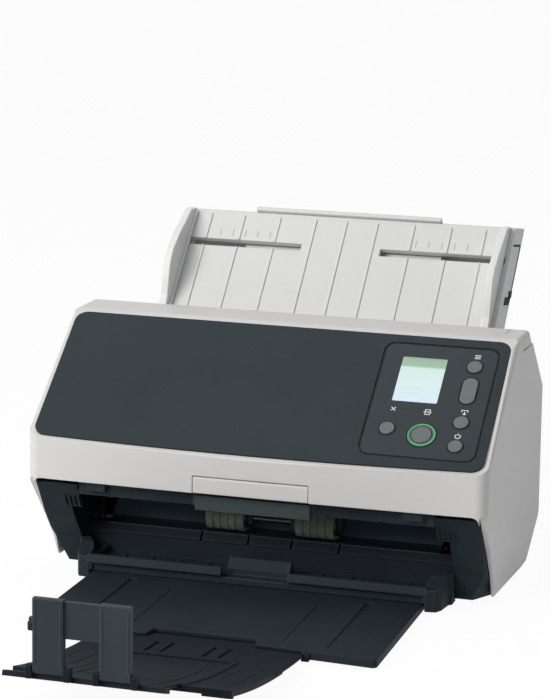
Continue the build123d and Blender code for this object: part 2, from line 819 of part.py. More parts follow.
def main_board():
    board = block(-70, 122, 70.4, 72.0, 26, 100)
    board += block(-62, -44, 66.4, 70.4, 50, 68)
    board += block(-20, 0, 66.9, 70.4, 60, 80)
    for i in range(6):
        board += block(10 + i * 7, 14 + i * 7, 68.4, 70.4, 82, 90)
    for x in (92, 104):
        board += rod_y(x, 74, 4.0, 60.0, 70.4)
    board += block(84, 112, 72, 74, 34, 56) + block(60, 75, 72, 74, 38, 50)
    for x in (-64, 116):
        for z in (44, 94):
            board += rod_y(x, z, 2.5, 71.5, 90.0) & prism(
                [(60, 40), (84.5, 40), (81.7, 113.9), (60, 113.9)], -150, 150
            )
    return board


def rod_y(x, z, r, y0, y1):
    return extrude(Plane.XZ.offset(-y1) * Pos(x, z) * Circle(r), y1 - y0)


def motor():
    front = 3.0 - guide_half
    body = rod(*motor_at, 15.0, front, front + 32)
    body += rod(*motor_at, 4.5, front - 2.5, front)
    return body + rod(*motor_at, 6.0, front + 32, front + 35)


def base_pan():
    w = housing_half - cheek_wall
    pan = block(-cheek_inner, cheek_inner, -42.5, 0, 8, 11) + block(-w, w, 0, 49.6, 8, 11)
    for x in (-60, 0, 60):
        pan += block(x - 1, x + 1, -38, 48, 10.5, 13)
    return pan


def feet():
    group = None
    for x in (12.0 - housing_half, housing_half - 12.0):
        for y, top in ((-11.0, 4.0), (36.0, 8.0)):
            pad = Pos(x, y, top / 2) * Cylinder(8.5, top)
            pad = fillet(pad.edges().sort_by(Axis.Z)[0], 1.0)
            group = pad if group is None else group + pad
    return group


def tray_point(v, w):
    # a point of the chute's side view: v up its slope, w out of it
    return (throat[0] + (v - w) * sqrt(0.5), throat[1] + (v + w) * sqrt(0.5))


def chute():
    # a sloping plate on a deep tray that stands on the rear slope
    body = slab(chute_plane, -chute_half, chute_half, 0, chute_top, -chute_thick, 0)
    tops = body.edges().filter_by(Axis.X).sort_by(Axis.Z)[-2:]
    body = fillet(tops, 1.0)
    crest = chute_top + tray_rise
    side = [
        tray_point(22, 0),
        tray_point(chute_top - 1, 0),
        tray_point(crest, -tray_depth),
        tray_point(8, -tray_depth),
    ]
    tray = both(prism(side, chute_half - tray_wall, chute_half))
    rear = [
        tray_point(8, tray_wall - tray_depth),
        tray_point(crest - 2, tray_wall - tray_depth),
        tray_point(crest, -tray_depth),
        tray_point(8, -tray_depth),
    ]
    tray += prism(rear, -chute_half, chute_half)
    slot_low = chute_ext_low - 1.0
    share = -slot_low / tray_depth
    cap = [
        tray_point(chute_top + tray_rise * share, slot_low),
        tray_point(crest, -tray_depth),
        tray_point(crest - 3, -tray_depth),
        tray_point(chute_top + tray_rise * share - 3, slot_low),
    ]
    tray += prism(cap, -chute_half + 0.5, chute_half - 0.5)
    under = [(0, slope_z(0)), (200, slope_z(200)), (200, -300), (0, -300)]
    body += tray - prism(under, -half, half)
    for x in (0, 22, 48, 74, 98):
        rib = slab(chute_plane, x - 0.8, x + 0.8, 8, chute_top - 4, -0.5, 0.6)
        body += rib if x == 0 else both(rib)
    for v in (30.0, 100.0):
        body -= both(slab(chute_plane, 28, chute_half - 2.5, v, v + 6, -10, 5, 0.5))
    for v0, v1 in ((44, 94), (112, 128)):
        rail = slab(
            chute_plane, chute_ext_half + 0.3, chute_ext_half + 4, v0, v1, chute_ext_low - 2, -chute_thick
        )
        rail += slab(
            chute_plane, chute_ext_half - 4, chute_ext_half + 4, v0, v1, chute_ext_low - 2, chute_ext_low - 0.05
        )
        body += both(rail)
    for i in range(8):
        x = -84.0 + i * 24.0
        groove = [
            tray_point(52, -30),
            tray_point(52, 0.8 - tray_depth),
            tray_point(122, 0.8 - tray_depth),
            tray_point(122, -30),
        ]
        body -= prism(groove, x - 1.2, x + 1.2)
    return body


def chute_extension():
    w = chute_ext_half
    body = slab(chute_plane, -w, w, 28, chute_top + 3.4, chute_ext_low, -6.9, 4)
    body += slab(chute_plane, -w + 4, w - 4, chute_top + 0.4, chute_top + 3.4, chute_ext_low, 1.5)
    for x in (-50, -18, 18, 50):
        body -= slab(chute_plane, x - 10, x + 10, 40, chute_top - 12, -12, -8.6, 3)
    return body


def fence_side():
    # a side guide: a curved fence on a foot that slides in the chute's slots
    points = [
        tray_point(chute_top - 0.2, 0.9),
        (127.4, 213.7, 1.0),
        (99.9, 199.8, 12.0),
        (86.6, 191.3, 8.0),
        (81.2, 183.8, 6.0),
        (77.9, 172.7, 8.0),
        (75.2, 161.2, 6.0),
        tray_point(22, 0.9),
    ]
    body = prism(points, *fence)
    face = body.edges().filter_by(
        lambda e: e.center().Y < e.center().Z - 79.0 and abs(e.center().X - fence[0]) < 0.01
    )
    body = fillet(face, 0.8)
    body += slab(chute_plane, fence[0] - 2, fence[1], 26, chute_top - 3, 0.9, 2.2)
    for v in (30.0, 100.0):
        body += slab(chute_plane, fence[0] + 0.3, fence[1] - 0.3, v + 0.2, v + 5.8, -4.3, 1.2)
        body += slab(chute_plane, fence[0] - 4, fence[1] + 0.6, v - 3, v + 9, -5.9, -4.1)
    return body


def stacker_root():
    # the front of the base: the bar, its side brackets and the runners of the wide plate
    w = root_half
    body = block(-w, w, -74.2, -42.5, 7.0, 11)
    bar = prism(
        [(-74.2, 8), (-74.2, 11.4), (-77.2, 12.6, 0.8), (-75.2, 17.6, 0.8), (-72.2, 17.6, 0.5), (-72.2, 8)],
        -w,
        w,
    )
    bar -= block(-22, 22, -80, -70, 11, 20)
    body += bar
    scoop = [(-65.6, 10.5), (-65.6, 15.0, 0.8), (-60.8, 20.8, 0.8), (-58.0, 20.8, 0.8), (-56.5, 10.5)]
    body += prism(scoop, -20.5, 20.5)
    wall = prism([(-76, 8), (-76, 15.5, 1), (-42.5, 15.5), (-42.5, 8)], w - 3, w)
    runner = block(plate_half + 0.1, w, -62, 34, 0.6, 8) + block(
        plate_half - 2.5, w, -62, 34, 0.6, plate_low - 0.05
    )
    body += both(wall + runner)
    end = cheek_inner - 0.3
    plan = [
        (w - 1, -76.5),
        (w + 6, -75.6, 1.2),
        (w + 8.5, -70.6, 2),
        (end - 2, -58),
        (end, -56),
        (end, -47),
        (end - 4, -47),
        (w - 1, -66),
    ]
    bracket = extrude(Plane.XY.offset(2.5) * outline(plan), 25)
    bracket &= prism([(-77, 2.5), (-77, 15.6), (-61, 22.0), (-46, 22.0), (-46, 2.5)], w - 2, end + 1)
    body += both(bracket)
    body -= block(3 - plate_half, plate_half - 3, -120, -75.9, 0, 6.9)
    for i in range(-5, 6):
        x = i * 19.0
        if abs(x) > 25:
            body += block(x - 0.6, x + 0.6, -70, -48, 10.5, 11.8)
    return body


def stacker_plate():
    w = plate_half
    step = leaf_two_half
    mid = plate_front + 5.5
    plan = [
        (-w, plate_rear),
        (-w, plate_front, 3.0),
        (-step - 1, mid, 1.0),
        (-step + 1, mid + 10, 1.5),
        (step - 1, mid + 10, 1.5),
        (step + 1, mid, 1.0),
        (w, plate_front, 3.0),
        (w, plate_rear),
    ]
    body = extrude(Plane.XY.offset(plate_low) * outline(plan), plate_high - plate_low)
    body = fillet(
        body.edges().filter_by(lambda e: e.center().Z > plate_high - 0.01 and e.center().Y < mid + 11), 0.7
    )
    hollow = [
        (-w + 2.5, plate_rear - 0.01),
        (-w + 2.5, plate_front + 3, 1.0),
        (-step - 1, mid + 2.5, 1.0),
        (-step - 1, mid + 12.5),
        (step + 1, mid + 12.5),
        (step + 1, mid + 2.5, 1.0),
        (w - 2.5, plate_front + 3, 1.0),
        (w - 2.5, plate_rear - 0.01),
    ]
    low = plate_high - plate_skin
    body -= extrude(Plane.XY.offset(plate_low - 1) * outline(hollow), low - plate_low + 1)
    rail = block(leaf_one_half + 0.3, leaf_one_half + 4.8, plate_front + 1, -126, 0.5, low + 0.1)
    rail &= block(0, w, -200, 0, 0, 10)
    body += both(rail)
    for x in (w - 23, w - 11):
        body += both(block(x - 0.6, x + 0.6, plate_front + 3, plate_rear - 2, 2.4, low + 0.1))
    body -= leaf_block(-step - 20, step + 20, leaf_r - 0.3, leaf_r + 8, leaf_one[0] - 40, 200) & block(
        -leaf_one_half - 0.3, leaf_one_half + 0.3, -300, 0, -10, low
    )
    body -= both(leaf_block(leaf_one_half, leaf_one_half + 2.3, leaf_r - 0.1, leaf_r + 1.3, 120, 200))
    body -= leaf_block(-leaf_one_half - 0.3, leaf_one_half + 0.3, leaf_r - 0.3, leaf_r + 9, 120, 200) & block(
        -w, w, -200, -100, -10, low
    )
    body -= both(block(w - 33.4, w - 28.6, -177, -82, plate_high - 0.7, 10))
    body -= both(block(w - 61.4, w - 60.4, -175, -96, plate_high - 0.4, 10))
    return body


def extension_one():
    w = leaf_one_half
    u0, u1 = leaf_one
    body = leaf_block(-w, w, leaf_r, leaf_r + 2.2, u0, u1)
    body += leaf_block(-w, w, leaf_r, leaf_r + 3.4, leaf_step, u1)
    rim = leaf_block(leaf_two_half + 0.3, leaf_two_half + 3.6, leaf_r - 0.8, leaf_r + 1, leaf_step, u1 - 1)
    lip = leaf_block(leaf_two_half + 13, w, leaf_r, leaf_r + 4.6, u1 - 4, u1)
    side = leaf_block(w - 0.5, w + 2, leaf_r + 0.2, leaf_r + 1.0, u0, 242)
    body += both(rim + lip + side)
    body -= leaf_block(
        -leaf_two_half - 0.3, leaf_two_half + 0.3, leaf_r - 5, leaf_r + 1.5, leaf_step - 0.5, u1 + 2
    )
    body -= both(
        leaf_block(leaf_two_half, leaf_two_half + 1.7, leaf_r + 0.3, leaf_r + 1.5, leaf_step - 0.5, u1 + 2)
    )
    for x0 in (11.5, 21.0):
        body -= both(leaf_block(x0, x0 + 3, leaf_r - 5, leaf_r + 1.2, 193, 220))
    for x0, x1 in ((w - 24, w - 14), (w - 12, w - 3)):
        body -= both(leaf_block(x0, x1, leaf_r + 1.8, leaf_r + 9, leaf_step + 6, u1 - 8))
    for x0 in (w - 20, w - 8.5):
        body -= both(leaf_block(x0, x0 + 1, leaf_r - 1, leaf_r + 0.4, leaf_step + 10, u1 - 12))
    body -= both(leaf_block(10, 28, leaf_r + 0.5, leaf_r + 9, 262, 300))
    return body


def extension_two():
    w = leaf_two_half
    u0, u1 = leaf_two
    body = leaf_block(-w, w, leaf_r - 0.6, leaf_r + 1.2, u0, u1 - 5)
    body += both(leaf_block(w - 0.5, w + 1.4, leaf_r + 0.6, leaf_r + 1.2, u0, u1 - 64))
    bar = leaf_block(-bar_half, bar_half, leaf_r - 1.1, leaf_r + 1.9, u1 - 9, u1)
    body += bar
    body -= both(leaf_block(25.5, 26.7, leaf_r - 2, leaf_r, u0 + 4, u1 - 16))
    body -= both(leaf_block(9.5, 24.5, leaf_r - 4, leaf_r + 4, 319, 322.5))
    body -= both(leaf_block(6, 20, leaf_r + 0.5, leaf_r + 4, u0 + 8, 312))
    y, z = stop_pivot
    for x0 in (6.4, 27.6):
        lug = prism(
            [(y - 2.6, z - 5.0), (y - 2.6, z + 2.4, 1.5), (y + 2.6, z + 2.4, 1.5), (y + 2.6, z - 5.0)],
            x0,
            x0 + 3.2,
        )
        lug -= rod(y, z, 1.2 + running, x0 - 1, x0 + 5)
        body += both(lug)
    return body


def stopper():
    # two uprights with a window between, on a pin each
    y, z = stop_pivot
    top = z + stop_height - 3.0
    tall = prism(
        [(y - 2.2, z), (y - 2.2, top, 0.8), (y + 2.0, top, 0.8), (y + 2.0, z)], stop_inner, stop_outer
    )
    tall += rod(y, z, 2.2, stop_inner, stop_outer)
    tall -= block(stop_inner + 2.5, stop_outer - 2.5, y - 0.2, y + 3, z + 4, top - 4)
    tall += rod(y, z, 1.2, 6.6, 30.6)
    cross = block(-stop_inner - 0.5, stop_inner + 0.5, y - 0.6, y + 1.4, top - 21.0, top - 0.8)
    body = both(tall) + cross
    body += block(-29.2, -26.5, y - 1.5, y + 1.5, z + 25, z + 28)
    return body


def keeper():
    # the ledge on the housing's side that the tab's nose stands over
    side = [(29.0, keeper_top, 0.5), (42.5, keeper_top, 0.5), (42.5, 126.0), (36.0, 132.0), (29.0, 134.0)]
    return prism(side, release_left, housing_half - 3)


def hinge_pins():
    return both(rod(*hinge, hinge_r, cheek_inner, housing_half))


def build():
    write("cover_shell", cover_shell())
    write("dark_panel", dark_panel())
    write("operator_panel", op_panel())
    write("screen", screen())
    write("scan_ring", scan_ring())
    for name in round_buttons:
        write(name, button(name))
    write("rocker", rocker())
    write("panel_board", panel_board())
    write("front_tab", front_tab())
    write("release_tab", release_tab())
    write("cover_frame", cover_frame())
    body, glass = scan_unit(1)
    write("upper_scan_unit", body)
    write("upper_scan_glass", glass)
    for name, at, place, r in (
        ("exit_idler", idler_at, tyre_at, idler_r),
        ("feed_idler", feed_idler_at, feed_tyre_at, feed_idler_r),
        ("brake_roller", brake_at, pick_tyre_at, brake_r),
    ):
        core, tyres = idler_set(at, place, r)
        write(name + "_shaft", core)
        write(name + "_tyres", tyres)
    near_left = (-near_wheel[1], -near_wheel[0])
    far_left = (-far_wheel[1], -far_wheel[0])
    left_end, right_end = far_wheel[1] + 1.0, right_wheel[1] + 2.0
    for name, at, place, r, left, right, wheels in (
        ("exit", exit_at, tyre_at, exit_r, -left_end, guide_half + 2, (far_left,)),
        ("feed", feed_at, feed_tyre_at, feed_r, -left_end, right_end, (far_left, near_left, right_wheel)),
        ("pick", pick_at, pick_tyre_at, pick_r, -guide_half, right_end, (right_wheel,)),
    ):
        core, tyres = drive_set(at, place, r, left, right)
        for x0, x1 in wheels:
            core += pulley(at, x0, x1)
        write(name + "_shaft", core)
        write(name + "_tyres", tyres)
    write("left_cheek", mirror(cheek(), Plane.YZ))
    write("right_cheek", cheek())
    write("lower_guide", lower_guide())
    body, glass = scan_unit(-1)
    write("lower_scan_unit", body)
    write("lower_scan_glass", glass)
    write("rear_housing", rear_housing())
    write("rear_screws", screws())
    write("power_inlet", power_inlet())
    write("usb_socket", usb_socket())
    write("main_board", main_board())
    write("drive_motor", motor())
    write("motor_pulley", pulley(motor_at, *near_left) + rod(*motor_at, 2.5, near_left[1], 0.5 - guide_half))
    belts = belt(motor_at, feed_at, near_left[0] + 0.2, near_left[1] - 0.2)
    belts += belt(feed_at, exit_at, far_left[0] + 0.2, far_left[1] - 0.2)
    belts += belt(feed_at, pick_at, right_wheel[0] + 0.2, right_wheel[1] - 0.2)
    write("drive_belts", belts)
    write("base_pan", base_pan())
    write("rubber_feet", feet())
    write("chute_plate", chute())
    write("chute_extension", chute_extension())
    write("right_guide", fence_side())
    write("left_guide", mirror(fence_side(), Plane.YZ))
    write("stacker_root", stacker_root())
    write("stacker_plate", stacker_plate())
    write("first_extension", extension_one())
    write("second_extension", extension_two())
    write("stopper", stopper())
    write("cover_catch", keeper())
    write("hinge_pins", hinge_pins())


build()
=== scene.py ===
import bpy
import bmesh
from math import cos, pi, radians, sin
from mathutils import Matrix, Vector
from mathutils.bvhtree import BVHTree


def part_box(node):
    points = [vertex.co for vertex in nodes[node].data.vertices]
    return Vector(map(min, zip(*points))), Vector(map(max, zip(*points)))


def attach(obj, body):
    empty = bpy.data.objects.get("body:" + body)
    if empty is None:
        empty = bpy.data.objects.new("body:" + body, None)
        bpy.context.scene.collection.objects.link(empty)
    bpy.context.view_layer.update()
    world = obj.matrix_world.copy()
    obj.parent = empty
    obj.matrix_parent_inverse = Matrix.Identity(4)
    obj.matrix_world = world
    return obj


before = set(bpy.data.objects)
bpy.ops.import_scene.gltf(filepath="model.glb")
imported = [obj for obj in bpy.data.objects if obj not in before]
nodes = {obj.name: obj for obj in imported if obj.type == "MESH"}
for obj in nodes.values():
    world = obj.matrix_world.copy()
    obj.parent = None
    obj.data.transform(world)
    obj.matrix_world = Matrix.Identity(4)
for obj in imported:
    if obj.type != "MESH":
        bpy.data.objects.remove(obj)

scene = bpy.context.scene
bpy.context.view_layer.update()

# the cover's hinge stands this far in front of the place that the numbers below count from
hingeAhead = 0.060
low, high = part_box("hinge_pins")
originY = (low.y + high.y) / 2 + hingeAhead


def place(x, y, z):
    # millimetres of the drawing to metres of the frame
    return Vector((x / 1000, y / 1000 + originY, z / 1000))


cameraSetup = {
    "at": (455.56, -1601.68, 490.22),
    "turn": (78.2918, -1.0051, 16.4193),
    "lens": 134.887,
    "sensor": 36,
    "shift": (-0.0008, 0.0011),
    "near": 0.05,
}


def makeCamera(setup):
    data = bpy.data.cameras.new("viewCamera")
    data.sensor_width = setup["sensor"]
    data.lens = setup["lens"]
    data.shift_x, data.shift_y = setup["shift"]
    data.clip_start = setup["near"]
    camera = bpy.data.objects.new("viewCamera", data)
    camera.location = place(*setup["at"])
    camera.rotation_euler = [radians(a) for a in setup["turn"]]
    scene.collection.objects.link(camera)
    scene.camera = camera


makeCamera(cameraSetup)
print("camera placed")


def put(tree, kind, sockets=None, **settings):
    # a new node with its settings and the values of its sockets
    node = tree.nodes.new(kind)
    for key, value in settings.items():
        setattr(node, key, value)
    for socket, value in (sockets or {}).items():
        node.inputs[socket].default_value = value
    return node


def plug(node, socket, source):
    node.id_data.links.new(source, node.inputs[socket])


def startMaterial(name):
    mat = bpy.data.materials.new(name)
    mat.use_nodes = True
    tree = mat.node_tree
    tree.nodes.clear()
    shader = put(tree, "ShaderNodeBsdfPrincipled")
    plug(put(tree, "ShaderNodeOutputMaterial"), "Surface", shader.outputs["BSDF"])
    return mat, tree, shader


def objectCoords(tree):
    return put(tree, "ShaderNodeTexCoord").outputs["Object"]


def noiseOf(tree, scale, detail=3.0, stretch=(1, 1, 1), rough=0.5):
    mapping = put(tree, "ShaderNodeMapping", {"Scale": stretch})
    plug(mapping, "Vector", objectCoords(tree))
    noise = put(tree, "ShaderNodeTexNoise",
                {"Scale": scale, "Detail": detail, "Roughness": rough})
    plug(noise, "Vector", mapping.outputs["Vector"])
    return noise.outputs["Fac"]


def cellsOf(tree, scale):
    cells = put(tree, "ShaderNodeTexVoronoi", {"Scale": scale}, feature="F1")
    plug(cells, "Vector", objectCoords(tree))
    return cells.outputs["Distance"]


def ramp(tree, source, stops):
    node = put(tree, "ShaderNodeValToRGB")
    band = node.color_ramp
    while len(band.elements) < len(stops):
        band.elements.new(0.5)
    for element, (at, colour) in zip(band.elements, stops):
        element.position = at
        element.color = (*colour, 1)
    plug(node, "Fac", source)
    return node.outputs["Color"]


def greyRamp(tree, source, *stops):
    # each stop is a place on the ramp and its grey
    return ramp(tree, source, [(at, (grey,) * 3) for at, grey in stops])


def calc(tree, operation, *values, clamp=False):
    node = put(tree, "ShaderNodeMath", operation=operation, use_clamp=clamp)
    for index, value in enumerate(values):
        if isinstance(value, (int, float)):
            node.inputs[index].default_value = value
        else:
            plug(node, index, value)
    return node.outputs[0]


def product(tree, *factors):
    result = factors[0]
    for factor in factors[1:]:
        result = calc(tree, "MULTIPLY", result, factor)
    return result


def blend(tree, factor, a, b):
    node = put(tree, "ShaderNodeMix", data_type="RGBA", blend_type="MIX")
    for index, value in ((0, factor), (6, a), (7, b)):
        if isinstance(value, (int, float)):
            node.inputs[index].default_value = value
        elif isinstance(value, tuple):
            node.inputs[index].default_value = (*value, 1)
        else:
            plug(node, index, value)
    return node.outputs[2]


def roundedNormal(tree, radius):
    return put(tree, "ShaderNodeBevel", {"Radius": radius}, samples=4).outputs["Normal"]


def edgeMask(tree, rounded):
    # near 1 where the surface turns within the radius of its rounded normal
    dot = put(tree, "ShaderNodeVectorMath", operation="DOT_PRODUCT")
    plug(dot, 0, rounded)
    plug(dot, 1, put(tree, "ShaderNodeNewGeometry").outputs["Normal"])
    turn = calc(tree, "SUBTRACT", 1.0, dot.outputs["Value"])
    return calc(tree, "MULTIPLY", turn, 4.0, clamp=True)


def bumpOf(tree, height, strength, distance, normal=None):
    node = put(tree, "ShaderNodeBump", {"Strength": strength, "Distance": distance})
    plug(node, "Height", height)
    if normal is not None:
        plug(node, "Normal", normal)
    return node.outputs["Normal"]


def shade(colour, factor):
    return tuple(min(1.0, c * factor) for c in colour)


def aroundColour(tree, source, colour, uneven):
    # a little darker and a little paler than the colour
    return ramp(tree, source, [(0.3, shade(colour, 1 - uneven)), (0.7, shade(colour, 1 + uneven))])


def paleBandMask(tree, paleBand):
    # 1 about the middle of the width and between two heights
    spot = put(tree, "ShaderNodeSeparateXYZ")
    plug(spot, 0, objectCoords(tree))
    across = calc(tree, "ABSOLUTE", spot.outputs["X"])
    return product(tree,
                   calc(tree, "LESS_THAN", across, paleBand["reach"]),
                   calc(tree, "GREATER_THAN", spot.outputs["Z"], paleBand["low"]),
                   calc(tree, "LESS_THAN", spot.outputs["Z"], paleBand["high"]))


mouldBase = {
    "cloud": 12,                    # size of the cloudy tint
    "speckSize": 0.8,               # pits between the grains, against the grain's own size
    "speckShade": 0.6,
    "speckDepth": 0.5,
    "scuff": 90,                    # duller and brighter streaks along the depth
    "scuffStretch": (1, 0.25, 1),
    "scuffRange": 0.16,
    "edge": 0.0005,                 # how wide the paler edges are, in metres: partly wear, partly painted highlight
    "polish": 0.1,                  # how much smoother they are
    "depth": 0.0001,                # how deep the grain is, in metres
    "specular": 0.4,
}


def mouldedPlastic(name, look):
    # fine spark grain, a cloudy tint and paler, polished edges; the paler edges are partly wear
    # and partly painted highlight
    look = {**mouldBase, **look}
    mat, tree, shader = startMaterial(name)
    cloud = noiseOf(tree, look["cloud"], 4.0)
    tint = aroundColour(tree, cloud, look["colour"], look["uneven"])
    speck = cellsOf(tree, look["grain"] * look["speckSize"])
    speckled = blend(tree, calc(tree, "MULTIPLY", speck, look["speck"]), tint,
                     shade(look["colour"], look["speckShade"]))
    # a paler band between two heights; on the lower guide it is painted light on the shaded slope
    if "paleBand" in look:
        paleBand = look["paleBand"]
        paler = blend(tree, cloud, shade(paleBand["colour"], 1 - paleBand["uneven"]),
                      shade(paleBand["colour"], 1 + paleBand["uneven"]))
        speckled = blend(tree, paleBandMask(tree, paleBand), speckled, paler)
    rounded = roundedNormal(tree, look["edge"])
    edge = edgeMask(tree, rounded)
    # painted highlight: the edge mask pales the rounded edges, partly as wear and partly standing
    # in for light catching them
    wornAndLit = blend(tree, calc(tree, "MULTIPLY", edge, look["wearAndHighlight"]), speckled, look["edgeColour"])
    plug(shader, "Base Color", wornAndLit)
    scuff = noiseOf(tree, look["scuff"], 5.0, look["scuffStretch"])
    rough = calc(tree, "MULTIPLY_ADD", scuff, look["scuffRange"],
                 look["roughness"] - look["scuffRange"] / 2)
    polished = calc(tree, "SUBTRACT", rough, calc(tree, "MULTIPLY", edge, look["polish"]))
    plug(shader, "Roughness", polished)
    shader.inputs["Specular IOR Level"].default_value = look["specular"]
    grain = noiseOf(tree, look["grain"], 2.0)
    height = calc(tree, "ADD", grain, calc(tree, "MULTIPLY", speck, look["speckDepth"]))
    plug(shader, "Normal", bumpOf(tree, height, look["bump"], look["depth"], rounded))
    return mat


shellLook = {
    "colour": (0.60, 0.588, 0.575), "uneven": 0.02,
    "grain": 1900, "speck": 0.05, "bump": 0.10, "roughness": 0.46, "specular": 0.35,
    # painted highlight: the pale edges are partly wear and partly highlight on the rounded edges
    "wearAndHighlight": 0.35, "edgeColour": (0.72, 0.71, 0.70), "edge": 0.0009,
}
rearLook = {**shellLook, "colour": (0.58, 0.57, 0.56)}
chuteLook = {**shellLook, "colour": (0.64, 0.64, 0.635), "grain": 1500, "roughness": 0.5}
# painted light: the guides are paler than the shell partly to stand in for light reflected onto
# them by paper sheets that are not modelled
guideLook = {**shellLook, "colour": (0.72, 0.72, 0.71), "roughness": 0.42}

slateLook = {
    "colour": (0.028, 0.037, 0.042), "uneven": 0.10, "cloud": 9,
    "grain": 1700, "speck": 0.2, "bump": 0.14, "roughness": 0.62, "specular": 0.12,
    "wearAndHighlight": 0.3, "edgeColour": (0.08, 0.10, 0.11),
}
controlLook = {**slateLook, "colour": (0.036, 0.045, 0.050), "grain": 2400, "roughness": 0.55}

mouthLook = {
    "colour": (0.032, 0.044, 0.057), "uneven": 0.16, "cloud": 20,
    "grain": 1300, "speck": 0.25, "bump": 0.2, "roughness": 0.62, "specular": 0.10,
    # painted highlight: strong pale edges, partly wear and partly standing in for light catching
    # the ridges and bars
    "wearAndHighlight": 0.7, "edgeColour": (0.10, 0.12, 0.14),
}
frameLook = {
    **mouthLook, "colour": (0.020, 0.029, 0.034),
    "paleBand": {"reach": 0.040, "low": 0.0, "high": 0.070,
               "colour": (0.046, 0.060, 0.062), "uneven": 0.15},
}
lowerLook = {
    **mouthLook, "colour": (0.0155, 0.0215, 0.029),
    # painted highlight: the ridge edges are paler, partly wear and partly standing in for light
    # catching them
    "wearAndHighlight": 0.9, "edge": 0.0008, "edgeColour": (0.10, 0.125, 0.145),
    # painted light: the slope is paler between these heights, standing in for light on its shaded
    # face
    "paleBand": {"reach": 0.130, "low": 0.0325, "high": 0.120,
               "colour": (0.055, 0.075, 0.097), "uneven": 0.15},
}
cheekLook = {
    **mouthLook, "colour": (0.014, 0.022, 0.026),
    "wearAndHighlight": 0.5, "edgeColour": (0.045, 0.058, 0.066),
}
rootLook = {
    **mouthLook, "colour": (0.017, 0.024, 0.030),
    # painted highlight: the bar's rounded top edge is paler, partly wear and partly standing in
    # for light on it
    "wearAndHighlight": 0.95, "edge": 0.0008, "edgeColour": (0.08, 0.10, 0.115),
}
trayLook = {
    **mouthLook, "colour": (0.0145, 0.0205, 0.027), "grain": 1000,
    "edge": 0.0006, "edgeColour": (0.04, 0.05, 0.058),
}
leafLook = {**trayLook, "colour": (0.0060, 0.0095, 0.0135), "wearAndHighlight": 0.9}
stopLook = {**mouthLook, "colour": (0.025, 0.035, 0.044), "roughness": 0.5, "specular": 0.15}
sensorLook = {**mouthLook, "colour": (0.03, 0.033, 0.036), "grain": 900}

keyLook = {
    "colour": (0.135, 0.15, 0.158), "uneven": 0.05,
    "grain": 2600, "speck": 0.1, "bump": 0.08, "roughness": 0.42, "specular": 0.2,
    "wearAndHighlight": 0.4, "edgeColour": (0.26, 0.28, 0.29),
}

rubberBase = {
    "dustSize": 140, "edgeDustAndSheen": 0.4, "edge": 0.0004,
    "skin": 900, "stretch": (0.35, 1, 1), "bump": 0.35, "depth": 0.0002,
    "roughness": 0.68, "roughRange": 0.2, "specular": 0.2,
}


def rubber(name, look):
    # matt, dusty in the hollows, paler at the edges with dust and painted sheen, with the ground
    # skin of a feed tyre
    look = {**rubberBase, **look}
    mat, tree, shader = startMaterial(name)
    dust = noiseOf(tree, look["dustSize"], 6.0, rough=0.65)
    tint = ramp(tree, dust, [(0.35, shade(look["colour"], 0.82)), (0.6, look["colour"]),
                             (0.8, look["dust"])])
    rounded = roundedNormal(tree, look["edge"])
    # painted sheen: the edges are paler, partly dust and partly sheen
    dustyAndSheen = calc(tree, "MULTIPLY", edgeMask(tree, rounded), look["edgeDustAndSheen"])
    plug(shader, "Base Color", blend(tree, dustyAndSheen, tint, look["dust"]))
    skin = noiseOf(tree, look["skin"], 4.0, look["stretch"])
    plug(shader, "Roughness",
         calc(tree, "MULTIPLY_ADD", skin, look["roughRange"], look["roughness"]))
    shader.inputs["Specular IOR Level"].default_value = look["specular"]
    plug(shader, "Normal", bumpOf(tree, skin, look["bump"], look["depth"], rounded))
    return mat


oliveLook = {"colour": (0.165, 0.20, 0.155), "dust": (0.26, 0.30, 0.235)}
tyreLook = {"colour": (0.10, 0.10, 0.10), "dust": (0.2, 0.2, 0.195)}
footLook = {"colour": (0.035, 0.035, 0.036), "dust": (0.1, 0.1, 0.1), "stretch": (1, 1, 1)}
beltLook = {"colour": (0.02, 0.02, 0.02), "dust": (0.06, 0.06, 0.06), "stretch": (3, 0.5, 0.5)}
# black used as painted shade round the keys and the panel, and for the dark marks on the chute's
# sides
shadeAndSeamLook = {"colour": (0.006, 0.008, 0.009), "dust": (0.02, 0.022, 0.024)}

metalBase = {
    "patch": 60, "patchShade": 0.7, "patchShare": 0.3,
    "edge": 0.0003, "bump": 0.12, "depth": 0.0001, "roughRange": 0.25,
}


def metal(name, look):
    # drawn or turned marks along one direction, with a few duller patches
    look = {**metalBase, **look}
    mat, tree, shader = startMaterial(name)
    marks = noiseOf(tree, look["scale"], 5.0, look["stretch"], 0.6)
    patch = noiseOf(tree, look["patch"], 3.0)
    lined = ramp(tree, marks, [(0.35, shade(look["colour"], 0.8)),
                               (0.65, shade(look["colour"], 1.1))])
    plug(shader, "Base Color", blend(tree, calc(tree, "MULTIPLY", patch, look["patchShare"]),
                                     lined, shade(look["colour"], look["patchShade"])))
    shader.inputs["Metallic"].default_value = 1.0
    plug(shader, "Roughness",
         calc(tree, "MULTIPLY_ADD", marks, look["roughRange"], look["roughness"]))
    plug(shader, "Normal", bumpOf(tree, marks, look["bump"], look["depth"],
                                  roundedNormal(tree, look["edge"])))
    return mat


